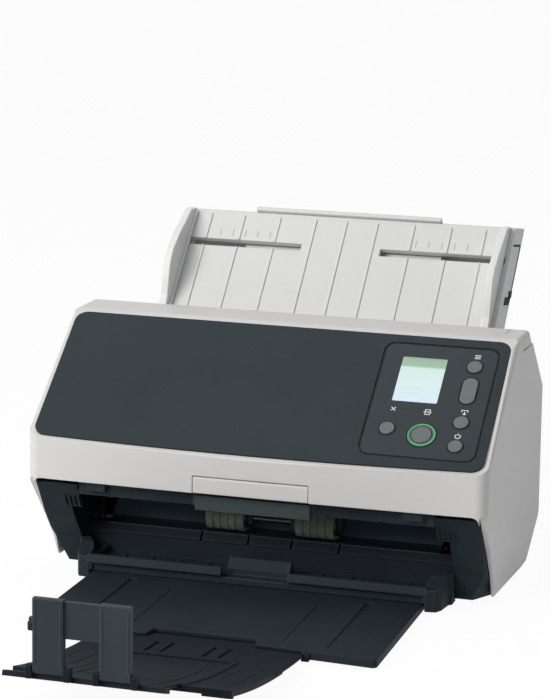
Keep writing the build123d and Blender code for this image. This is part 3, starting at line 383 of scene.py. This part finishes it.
shaftLook = {"colour": (0.58, 0.58, 0.57), "scale": 700, "stretch": (6, 0.6, 0.6),
             "roughness": 0.22}
darkShaftLook = {**shaftLook, "colour": (0.11, 0.115, 0.12), "roughness": 0.32}
screwLook = {"colour": (0.36, 0.36, 0.37), "scale": 900, "stretch": (1, 1, 1),
             "roughness": 0.3}
motorLook = {"colour": (0.52, 0.52, 0.50), "scale": 500, "stretch": (0.4, 3, 3),
             "roughness": 0.32}
socketLook = {"colour": (0.62, 0.61, 0.58), "scale": 800, "stretch": (1, 0.2, 1),
              "roughness": 0.25}
contactLook = {"colour": (0.75, 0.58, 0.28), "scale": 900, "stretch": (1, 0.2, 1),
               "roughness": 0.25}

glassLook = {
    "dust": 220, "clean": (0.80, 0.86, 0.86), "dustyAndSheen": (0.55, 0.6, 0.6),
    "cleanRough": 0.03, "dustyRough": 0.25, "clear": 0.85, "bend": 1.5, "bump": 0.03,
}


def sensorGlass(name, look):
    # clear glass with a little dust, over the dark sensor
    mat, tree, shader = startMaterial(name)
    dust = noiseOf(tree, look["dust"], 8.0, rough=0.7)
    plug(shader, "Base Color", ramp(tree, dust, [(0.45, look["clean"]), (0.8, look["dustyAndSheen"])]))
    plug(shader, "Roughness",
         greyRamp(tree, dust, (0.4, look["cleanRough"]), (0.85, look["dustyRough"])))
    shader.inputs["Transmission Weight"].default_value = look["clear"]
    shader.inputs["IOR"].default_value = look["bend"]
    plug(shader, "Normal", bumpOf(tree, dust, look["bump"], 0.0001))
    return mat


boardLook = {
    "tracks": 160, "trackWidth": 0.03,
    "mask": (0.012, 0.10, 0.04), "otherMask": (0.016, 0.13, 0.05), "track": (0.03, 0.22, 0.09),
    "pads": 420, "padSize": 0.12, "pad": (0.55, 0.55, 0.5), "padRim": (0.02, 0.14, 0.06),
}


def circuitBoard(name, look):
    # green solder mask with raised tracks and pads
    mat, tree, shader = startMaterial(name)
    tracks = put(tree, "ShaderNodeTexBrick", {
        "Scale": look["tracks"], "Mortar Size": look["trackWidth"], "Color1": (*look["mask"], 1),
        "Color2": (*look["otherMask"], 1), "Mortar": (*look["track"], 1)})
    plug(tracks, "Vector", objectCoords(tree))
    cells = cellsOf(tree, look["pads"])
    pads = ramp(tree, cells, [(0.1, look["pad"]), (0.16, look["padRim"])])
    inPad = calc(tree, "LESS_THAN", cells, look["padSize"])
    plug(shader, "Base Color", blend(tree, inPad, tracks.outputs["Color"], pads))
    plug(shader, "Roughness", greyRamp(tree, noiseOf(tree, 300), (0.3, 0.28), (0.8, 0.45)))
    plug(shader, "Normal", bumpOf(tree, tracks.outputs["Fac"], 0.3, 0.0001))
    return mat


# the sloping panel: how steep it is, and the depth and height of its upper edge
panelTurn = radians(37.6)
panelTop = (-2.0, 161.5)


def slopePoint(x, down, out):
    # a point of the sloping panel: across, down the slope, out of it
    y = panelTop[0] - down * cos(panelTurn) - out * sin(panelTurn)
    z = panelTop[1] - down * sin(panelTurn) + out * cos(panelTurn)
    return place(x, y, z)


def panelCoords(tree, origin):
    # object coordinates from the given point, along the panel's own axes
    turn = put(tree, "ShaderNodeMapping", {"Location": origin, "Rotation": (panelTurn, 0, 0)},
               vector_type="TEXTURE")
    plug(turn, "Vector", objectCoords(tree))
    return turn.outputs["Vector"]


screenLook = {
    "left": 78.8, "top": 17.4, "tall": 37.0,
    "page": [(0.0, (0.15, 0.17, 0.15)), (0.05, (0.16, 0.24, 0.17)), (0.2, (0.17, 0.27, 0.19)),
             (0.24, (0.36, 0.46, 0.42)), (0.6, (0.38, 0.48, 0.48)), (1.0, (0.38, 0.46, 0.52))],
    "rowsTop": 24.0, "rowsFoot": 33.5, "rowsLeft": 3.5, "rowsRight": 17.0,
    "pitch": 4.2, "thin": 0.86, "rowShare": 0.3, "rowColour": (0.22, 0.30, 0.31),
    "cloud": 60, "cloudShare": 0.08, "cloudColour": (0.3, 0.4, 0.4), "glow": 0.62,
}


def litScreen(name, look):
    # a plain lit page: header band, a few faint rows, a soft fade towards the foot
    mat, tree, shader = startMaterial(name)
    split = put(tree, "ShaderNodeSeparateXYZ")
    plug(split, 0, panelCoords(tree, place(look["left"], *panelTop)))
    across = calc(tree, "MULTIPLY", split.outputs["X"], 1000.0)
    down = calc(tree, "MULTIPLY", split.outputs["Y"], -1000.0)
    below = calc(tree, "SUBTRACT", down, look["top"])
    page = ramp(tree, calc(tree, "DIVIDE", below, look["tall"], clamp=True), look["page"])
    wave = calc(tree, "SINE", calc(tree, "MULTIPLY", down, 2 * pi / look["pitch"]))
    rows = product(tree,
                   calc(tree, "GREATER_THAN", wave, look["thin"]),
                   calc(tree, "GREATER_THAN", below, look["rowsTop"]),
                   calc(tree, "LESS_THAN", below, look["rowsFoot"]),
                   calc(tree, "GREATER_THAN", across, look["rowsLeft"]),
                   calc(tree, "LESS_THAN", across, look["rowsRight"]),
                   look["rowShare"])
    cloud = calc(tree, "MULTIPLY", noiseOf(tree, look["cloud"], 2.0), look["cloudShare"])
    lit = blend(tree, rows, page, look["rowColour"])
    lit = blend(tree, cloud, lit, look["cloudColour"])
    plug(shader, "Base Color", lit)
    plug(shader, "Emission Color", lit)
    shader.inputs["Emission Strength"].default_value = look["glow"]
    plug(shader, "Roughness", greyRamp(tree, noiseOf(tree, 400, 5.0), (0.3, 0.08), (0.9, 0.2)))
    return mat


ringLook = {
    "at": (103.4, 80.4), "lit": 7.75, "sharp": 6.0,
    "dim": (0.02, 0.22, 0.06), "bright": (0.05, 0.34, 0.11),
    "inner": (0.05, 0.06, 0.06), "innerGlow": (0.0, 0.004, 0.001), "glow": 0.25,
}


def lightRing(name, look):
    # a green light pipe: its outer rim is lit, a little unevenly, its inner rim is dark plastic
    mat, tree, shader = startMaterial(name)
    flat = put(tree, "ShaderNodeVectorMath", {1: (1000, 1000, 0)}, operation="MULTIPLY")
    plug(flat, 0, panelCoords(tree, slopePoint(*look["at"], 0)))
    reach = put(tree, "ShaderNodeVectorMath", operation="LENGTH")
    plug(reach, 0, flat.outputs["Vector"])
    rim = calc(tree, "SUBTRACT", reach.outputs["Value"], look["lit"])
    rim = calc(tree, "MULTIPLY", rim, look["sharp"], clamp=True)
    glow = ramp(tree, noiseOf(tree, 130, 2.0), [(0.3, look["dim"]), (0.7, look["bright"])])
    plug(shader, "Base Color", blend(tree, rim, look["inner"], glow))
    plug(shader, "Emission Color", blend(tree, rim, look["innerGlow"], glow))
    shader.inputs["Emission Strength"].default_value = look["glow"]
    plug(shader, "Roughness", greyRamp(tree, noiseOf(tree, 700), (0.3, 0.3), (0.8, 0.45)))
    return mat


def printedInk(name, colour):
    # pad printing: even, thinner in places
    mat, tree, shader = startMaterial(name)
    plug(shader, "Base Color", ramp(tree, noiseOf(tree, 1500, 4.0), [(0.3, shade(colour, 0.8)),
                                                                    (0.6, colour)]))
    plug(shader, "Roughness", greyRamp(tree, noiseOf(tree, 900), (0.3, 0.5), (0.8, 0.7)))
    return mat


stopPlastic = mouldedPlastic("stopPlastic", stopLook)
# painted shade round the keys and the panel; also the dark clip, notch and seam on the chute's
# sides
shadeAndSeamBlack = rubber("shadeAndSeamBlack", shadeAndSeamLook)
signInk = printedInk("signInk", (0.75, 0.77, 0.77))
markInk = printedInk("markInk", (0.42, 0.42, 0.41))
contactGilt = metal("contactGilt", contactLook)

finishes = [
    (mouldedPlastic("shellPlastic", shellLook), ["cover_shell", "front_tab", "release_tab"]),
    (mouldedPlastic("rearPlastic", rearLook), ["rear_housing"]),
    (mouldedPlastic("chutePlastic", chuteLook), ["chute_plate", "chute_extension"]),
    (mouldedPlastic("guidePlastic", guideLook), ["left_guide", "right_guide"]),
    (mouldedPlastic("slatePlastic", slateLook), ["dark_panel"]),
    (mouldedPlastic("controlPlastic", controlLook), ["operator_panel"]),
    (mouldedPlastic("mouthPlastic", mouthLook), ["base_pan", "cover_catch", "power_inlet"]),
    (mouldedPlastic("framePlastic", frameLook), ["cover_frame"]),
    (mouldedPlastic("lowerPlastic", lowerLook), ["lower_guide"]),
    (mouldedPlastic("cheekPlastic", cheekLook), ["left_cheek", "right_cheek"]),
    (mouldedPlastic("rootPlastic", rootLook), ["stacker_root"]),
    (mouldedPlastic("trayPlastic", trayLook), ["stacker_plate"]),
    (mouldedPlastic("leafPlastic", leafLook), ["first_extension", "second_extension"]),
    (stopPlastic, ["stopper"]),
    (mouldedPlastic("keyPlastic", keyLook), ["menu_button", "feed_button", "power_button",
                                             "stop_button", "scan_button", "rocker"]),
    (lightRing("ringLight", ringLook), ["scan_ring"]),
    (litScreen("screenPage", screenLook), ["screen"]),
    (sensorGlass("scanGlass", glassLook), ["upper_scan_glass", "lower_scan_glass"]),
    (mouldedPlastic("sensorPlastic", sensorLook), ["upper_scan_unit", "lower_scan_unit"]),
    (rubber("oliveRubber", oliveLook), ["exit_idler_tyres", "feed_idler_tyres",
                                        "brake_roller_tyres"]),
    (rubber("tyreRubber", tyreLook), ["exit_tyres", "feed_tyres", "pick_tyres"]),
    (rubber("footRubber", footLook), ["rubber_feet"]),
    (rubber("beltRubber", beltLook), ["drive_belts"]),
    (metal("shaftSteel", shaftLook), ["feed_shaft", "pick_shaft", "feed_idler_shaft",
                                      "brake_roller_shaft", "hinge_pins"]),
    (metal("darkSteel", darkShaftLook), ["exit_shaft", "exit_idler_shaft"]),
    (metal("screwSteel", screwLook), ["rear_screws"]),
    (metal("motorSteel", motorLook), ["drive_motor", "motor_pulley"]),
    (metal("socketSteel", socketLook), ["usb_socket"]),
    (circuitBoard("boardGreen", boardLook), ["main_board", "panel_board"]),
]


def dressNodes():
    dressed = set()
    for material, names in finishes:
        for name in names:
            node = nodes[name]
            if not node.material_slots:
                node.data.materials.append(material)
            for slot in node.material_slots:
                slot.material = material
            dressed.add(name)
    print("nodes with a finish", len(dressed), "left bare", sorted(set(nodes) - dressed))


dressNodes()


def meshPiece(name, verts, faces, material, body):
    mesh = bpy.data.meshes.new(name)
    mesh.from_pydata(verts, [], faces)
    mesh.validate()
    mesh.update()
    mesh.materials.append(material)
    piece = bpy.data.objects.new(name, mesh)
    scene.collection.objects.link(piece)
    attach(piece, body)
    return piece


def addPrism(verts, faces, lower, upper):
    # a closed prism between two outlines of as many points
    first, count = len(verts), len(lower)
    verts += [*lower, *upper]
    faces.append([first + i for i in reversed(range(count))])
    faces.append([first + count + i for i in range(count)])
    for i in range(count):
        j = (i + 1) % count
        faces.append([first + i, first + j, first + count + j, first + count + i])


def turnOutward(piece):
    # makes every face of a closed mesh point out of it
    work = bmesh.new()
    work.from_mesh(piece.data)
    bmesh.ops.recalc_face_normals(work, faces=work.faces)
    work.to_mesh(piece.data)
    work.free()


def surfaceOf(name):
    mesh = nodes[name].data
    return BVHTree.FromPolygons([v.co.copy() for v in mesh.vertices],
                                [tuple(p.vertices) for p in mesh.polygons])


panelSurface = surfaceOf("operator_panel")
slopeNormal = Vector((0, -sin(panelTurn), cos(panelTurn)))


def panelHeight(x, down, above=20):
    # how far the operator panel stands out of the slope there, in millimetres
    hit = panelSurface.ray_cast(slopePoint(x, down, above), -slopeNormal)
    return above - hit[3] * 1000 if hit[0] is not None else 0.0


signSetup = {
    "thick": 0.05,
    "sunk": 0.01,
    "line": 0.55,
    "places": {
        "menu": (126.4, 13.9),
        "feed": (126.6, 59.9),
        "power": (126.0, 79.0),
        "enter": (103.5, 61.7),
        "clear": (81.5, 61.2),
    },
}


def signShapes(w):
    # each sign is a list of closed outlines in millimetres, across and up from its middle

    def bar(x0, y0, x1, y1):
        along = Vector((x1 - x0, y1 - y0)).normalized()
        sx, sy = -along.y * w, along.x * w
        return [(x0 - sx, y0 - sy), (x1 - sx, y1 - sy), (x1 + sx, y1 + sy), (x0 + sx, y0 + sy)]

    def arc(r, start, end, steps=18):
        shapes = []
        for i in range(steps):
            a, b = (radians(start + (end - start) * k / steps) for k in (i, i + 1))
            corners = ((a, 1 - w / r), (a, 1 + w / r), (b, 1 + w / r), (b, 1 - w / r))
            shapes.append([(r * cos(t) * k, r * sin(t) * k) for t, k in corners])
        return shapes

    return {
        "menu": [bar(-1.9, 1.3, 1.9, 1.3), bar(-1.9, 0, 1.9, 0), bar(-1.9, -1.3, 1.9, -1.3)],
        "feed": [bar(-1.9, 0.4, -1.9, 1.9), bar(1.9, 0.4, 1.9, 1.9), bar(-2.2, 1.9, 2.2, 1.9),
                 bar(0, 0.9, 0, -1.6), bar(-1.0, -0.7, 0.1, -1.9), bar(1.0, -0.7, -0.1, -1.9)],
        "power": arc(1.7, 125, 415) + [bar(0, 0.5, 0, 2.3)],
        "enter": [bar(-1.5, 1.9, -1.5, -1.9), bar(1.5, 1.9, 1.5, -1.9),
                  bar(-1.8, 1.9, 1.8, 1.9), bar(-1.8, -1.9, 1.8, -1.9), bar(-2.6, 0, 2.6, 0)],
        "clear": [bar(-1.4, 1.4, 1.4, -1.4), bar(-1.4, -1.4, 1.4, 1.4)],
    }


def makeSigns(setup):
    verts, faces = [], []
    for name, shapes in signShapes(setup["line"] / 2).items():
        x, down = setup["places"][name]
        height = panelHeight(x, down)
        for shape in shapes:
            addPrism(verts, faces, *(
                [slopePoint(x + u, down - v, out) for u, v in shape]
                for out in (height - setup["sunk"], height + setup["thick"])))
    meshPiece("panel_signs", verts, faces, signInk, "cover")


makeSigns(signSetup)
print("panel signs made")

shadeRimSetup = {
    "width": 0.62,
    "thick": 0.06,
    "sunk": 0.02,
    "gap": 0.23,
    "keys": [  # across, down the slope, radius
        (126.0, 22.4, 4.8), (126.0, 68.0, 4.8), (126.0, 87.1, 4.6), (80.8, 77.2, 4.8),
        (103.4, 80.4, 8.9),
    ],
    "rocker": {"at": (126.0, 42.3), "wide": 4.8, "tall": 10.4, "gap": 0.33},
    "panel": {"at": (103.0, 52.65), "wide": 37.0, "tall": 46.15, "corner": 7.0, "width": 0.9},
}


def roundedLoop(x, y, wide, tall, r, steps=8):
    # a rounded rectangle about a point, anticlockwise, with its half sizes and its corners' radius
    loop = []
    for sx, sy, start in ((1, 1, 0), (-1, 1, 90), (-1, -1, 180), (1, -1, 270)):
        cx, cy = x + sx * (wide - r), y + sy * (tall - r)
        for i in range(steps + 1):
            a = radians(start + 90 * i / steps)
            loop.append((cx + r * cos(a), cy + r * sin(a)))
    return loop


def makeShadeRims(setup):
    # painted shade: a soft black band round each key and round the operator panel, standing in for
    # the shadow in the gaps
    verts, faces = [], []

    def band(inner, outer, height):
        first, count = len(verts), len(inner)
        foot, top = height - setup["sunk"], height + setup["thick"]
        for loop, out in ((inner, foot), (inner, top), (outer, top), (outer, foot)):
            verts.extend(slopePoint(x, down, out) for x, down in loop)
        for side in range(4):
            a, b = first + side * count, first + (side + 1) % 4 * count
            for i in range(count):
                j = (i + 1) % count
                faces.append([a + i, b + i, b + j, a + j])

    for x, down, r in setup["keys"]:
        near = r + setup["gap"]
        far = near + setup["width"]
        band(roundedLoop(x, down, near, near, near), roundedLoop(x, down, far, far, far),
             panelHeight(x + far, down))

    rocker = setup["rocker"]
    (x, down), wide, tall = rocker["at"], rocker["wide"], rocker["tall"]
    near = rocker["gap"]
    far = near + setup["width"]
    band(roundedLoop(x, down, wide + near, tall + near, wide + near),
         roundedLoop(x, down, wide + far, tall + far, wide + far),
         panelHeight(x, down + tall + far))

    panel = setup["panel"]
    (x, down), wide, tall, r = panel["at"], panel["wide"], panel["tall"], panel["corner"]
    near = panel["width"]
    band(roundedLoop(x, down, wide, tall, r),
         roundedLoop(x, down, wide - near, tall - near, r - near),
         panelHeight(x - wide + 3, down))
    turnOutward(meshPiece("key_shade_rims", verts, faces, shadeAndSeamBlack, "cover"))


makeShadeRims(shadeRimSetup)
print("key rims made")


def boxRowTree(name, material):
    # one tree that sets boxes of one size along a line
    tree = bpy.data.node_groups.new(name, "GeometryNodeTree")
    tree.interface.new_socket("Geometry", in_out="OUTPUT", socket_type="NodeSocketGeometry")
    sockets = {}
    for label, kind in (("Count", "Int"), ("Start", "Vector"), ("Step", "Vector"),
                        ("Size", "Vector"), ("Turn", "Vector")):
        sockets[label] = tree.interface.new_socket(
            label, in_out="INPUT", socket_type="NodeSocket" + kind).identifier
    enter = put(tree, "NodeGroupInput")
    row = put(tree, "GeometryNodeMeshLine")
    block = put(tree, "GeometryNodeMeshCube")
    spread = put(tree, "GeometryNodeInstanceOnPoints")
    real = put(tree, "GeometryNodeRealizeInstances")
    paint = put(tree, "GeometryNodeSetMaterial", {"Material": material})
    leave = put(tree, "NodeGroupOutput")
    plug(row, "Count", enter.outputs["Count"])
    plug(row, "Start Location", enter.outputs["Start"])
    plug(row, "Offset", enter.outputs["Step"])
    plug(block, "Size", enter.outputs["Size"])
    plug(spread, "Points", row.outputs["Mesh"])
    plug(spread, "Instance", block.outputs["Mesh"])
    plug(spread, "Rotation", enter.outputs["Turn"])
    plug(real, "Geometry", spread.outputs["Instances"])
    plug(paint, "Geometry", real.outputs["Geometry"])
    plug(leave, "Geometry", paint.outputs["Geometry"])
    return tree, sockets


def rowPiece(name, rows, material, body):
    # one plain mesh of all rows
    tree, sockets = boxRowTree(name + "Rows", material)
    verts, faces = [], []
    for row in rows:
        worker = bpy.data.objects.new(name + "Worker", bpy.data.meshes.new(name))
        scene.collection.objects.link(worker)
        modifier = worker.modifiers.new("rows", "NODES")
        modifier.node_group = tree
        for label, value in row.items():
            modifier[sockets[label]] = value if label == "Count" else tuple(value)
        solved = worker.evaluated_get(bpy.context.evaluated_depsgraph_get())
        mesh = bpy.data.meshes.new_from_object(solved)
        bpy.data.objects.remove(worker)
        first = len(verts)
        verts += [v.co.copy() for v in mesh.vertices]
        faces += [[first + i for i in p.vertices] for p in mesh.polygons]
    meshPiece(name, verts, faces, material, body)


# the chute's plane: how steep it is, and the depth and height of its foot
chuteTurn = radians(45)
chuteFoot = (46.0, 120.0)


def chutePoint(x, along, out):
    # a point of the chute's plane: across, up the slope, out of it
    y = chuteFoot[0] + (along - out) * cos(chuteTurn)
    z = chuteFoot[1] + (along + out) * sin(chuteTurn)
    return place(x, y, z)


chuteMarkSetup = {
    "along": 112.0, "first": 52.0, "gap": 9.0, "ticks": 5,
    "out": 0.02, "size": (0.0007, 0.0055, 0.0001),
}


def makeChuteMarks(setup):
    # printed size ticks on both sides of the chute, near its upper edge
    rows = []
    for side in (-1, 1):
        rows.append({
            "Count": setup["ticks"],
            "Start": chutePoint(side * setup["first"], setup["along"], setup["out"]),
            "Step": (side * setup["gap"] / 1000, 0, 0),
            "Size": setup["size"],
            "Turn": (chuteTurn, 0, 0),
        })
    rowPiece("chute_marks", rows, markInk, "base")


makeChuteMarks(chuteMarkSetup)

sideMarkSetup = {
    "face": 118.0,
    "thick": 0.25,
    "sunk": 0.05,
    "shapes": [  # depth and height of the corners: clip, its foot, notch, seam
        [(119.5, 166.9), (131.0, 165.6), (133.5, 169.4), (122.5, 171.8)],
        [(105.5, 164.6), (122.5, 162.0), (128.6, 166.0), (110.0, 169.6)],
        [(133.4, 200.3), (154.4, 197.1), (155.3, 198.4), (134.3, 201.6)],
        [(128.1, 168.7), (128.8, 168.0), (158.2, 197.4), (157.5, 198.1)],
    ],
}


def makeSideMarks(setup):
    # the clip, the notch and the seam between them on both sides of the chute, as thin inlays
    verts, faces = [], []
    for side in (-1, 1):
        for shape in setup["shapes"]:
            addPrism(verts, faces, *(
                [place(side * x, y, z) for y, z in shape]
                for x in (setup["face"] - setup["sunk"], setup["face"] + setup["thick"])))
    turnOutward(meshPiece("chute_side_marks", verts, faces, shadeAndSeamBlack, "base"))


makeSideMarks(sideMarkSetup)

contactSetup = {
    "count": 4, "first": (64.5, 81.0, 45.52), "gap": 2.0, "size": (0.0010, 0.0060, 0.0001),
}


def makeContacts(setup):
    # gilt contacts on the tongue of the data socket
    row = {"Count": setup["count"], "Start": place(*setup["first"]),
           "Step": (setup["gap"] / 1000, 0, 0), "Size": setup["size"], "Turn": (0, 0, 0)}
    rowPiece("usb_contacts", [row], contactGilt, "base")


makeContacts(contactSetup)

ribSetup = {
    "face": -386.2, "sunk": 0.10, "thick": 0.3, "wide": 1.1,
    "inner": 11.3, "outer": 25.7, "low": 52.0, "high": 85.0,
}


def makeStopperRibs(setup):
    # slim raised edges down both uprights of the stopper
    rows = []
    for side in (-1, 1):
        rows.append({
            "Count": 2,
            "Start": place(side * setup["inner"], setup["face"] - setup["sunk"],
                           (setup["low"] + setup["high"]) / 2),
            "Step": (side * (setup["outer"] - setup["inner"]) / 1000, 0, 0),
            "Size": [setup["wide"] / 1000, setup["thick"] / 1000,
                     (setup["high"] - setup["low"]) / 1000],
            "Turn": (0, 0, 0),
        })
    rowPiece("stopper_ribs", rows, stopPlastic, "stopper")


makeStopperRibs(ribSetup)
print("repeated marks made")

stageSetup = {
    "floor": (0.92, 0.92, 0.92), "uneven": 1.02, "roughness": 0.9, "specular": 0.1,
    "size": 14.0, "level": -0.0002,
    "white": 0.95,                  # how much of the floor is plain white where it is seen
    "room": (0.93, 0.96, 1.0), "roomLevel": 0.29,
}


def seenDirectly(tree):
    # camera, glossy and transmitted rays
    path = put(tree, "ShaderNodeLightPath")
    seen = calc(tree, "MAXIMUM", path.outputs["Is Camera Ray"], path.outputs["Is Glossy Ray"])
    return calc(tree, "MAXIMUM", seen, path.outputs["Is Transmission Ray"])


def mixShaders(tree, factor, first, second):
    mixer = put(tree, "ShaderNodeMixShader")
    for index, source in enumerate((factor, first, second)):
        plug(mixer, index, source)
    return mixer.outputs[0]


def makeFloor(setup):
    half, level = setup["size"] / 2, setup["level"]
    mesh = bpy.data.meshes.new("floorPlane")
    corners = [(-half, -half, level), (half, -half, level), (half, half, level),
               (-half, half, level)]
    mesh.from_pydata(corners, [], [(0, 1, 2, 3)])
    mat, tree, shader = startMaterial("floorWhite")
    plug(shader, "Base Color", ramp(tree, noiseOf(tree, 3, 2.0), [
        (0.3, setup["floor"]), (0.7, shade(setup["floor"], setup["uneven"]))]))
    shader.inputs["Roughness"].default_value = setup["roughness"]
    shader.inputs["Specular IOR Level"].default_value = setup["specular"]
    glow = put(tree, "ShaderNodeEmission", {"Color": (1, 1, 1, 1)})
    share = calc(tree, "MULTIPLY", seenDirectly(tree), setup["white"])
    leave = shader.outputs["BSDF"].links[0].to_node
    plug(leave, "Surface", mixShaders(tree, share, shader.outputs["BSDF"], glow.outputs[0]))
    mesh.materials.append(mat)
    floor = bpy.data.objects.new("floorPlane", mesh)
    scene.collection.objects.link(floor)


def makeRoom(setup):
    world = bpy.data.worlds.new("softRoom")
    scene.world = world
    world.use_nodes = True
    tree = world.node_tree
    tree.nodes.clear()
    room = put(tree, "ShaderNodeBackground",
               {"Color": (*setup["room"], 1), "Strength": setup["roomLevel"]})
    white = put(tree, "ShaderNodeBackground", {"Color": (1, 1, 1, 1)})
    mixed = mixShaders(tree, seenDirectly(tree), room.outputs[0], white.outputs[0])
    plug(put(tree, "ShaderNodeOutputWorld"), "Surface", mixed)


lampTarget = (0, -60, 80)
lampSetup = {
    "keyLamp": {"at": (-1000, -1400, 1100), "size": 1.2, "power": 34.0,
                "colour": (1.0, 0.985, 0.97)},
    "topLamp": {"at": (-100, 350, 1800), "size": 1.6, "power": 7.0, "colour": (1.0, 1.0, 1.0)},
}


def makeLamps(setup):
    for name, lamp in setup.items():
        data = bpy.data.lights.new(name, "AREA")
        data.shape = "DISK"
        data.size = lamp["size"]
        data.energy = lamp["power"]
        data.color = lamp["colour"]
        light = bpy.data.objects.new(name, data)
        light.location = place(*lamp["at"])
        aim = place(*lampTarget) - light.location
        light.rotation_euler = aim.to_track_quat("-Z", "Y").to_euler()
        scene.collection.objects.link(light)


makeFloor(stageSetup)
makeRoom(stageSetup)
makeLamps(lampSetup)
scene.view_settings.view_transform = "Standard"
print("stage and lamps made")
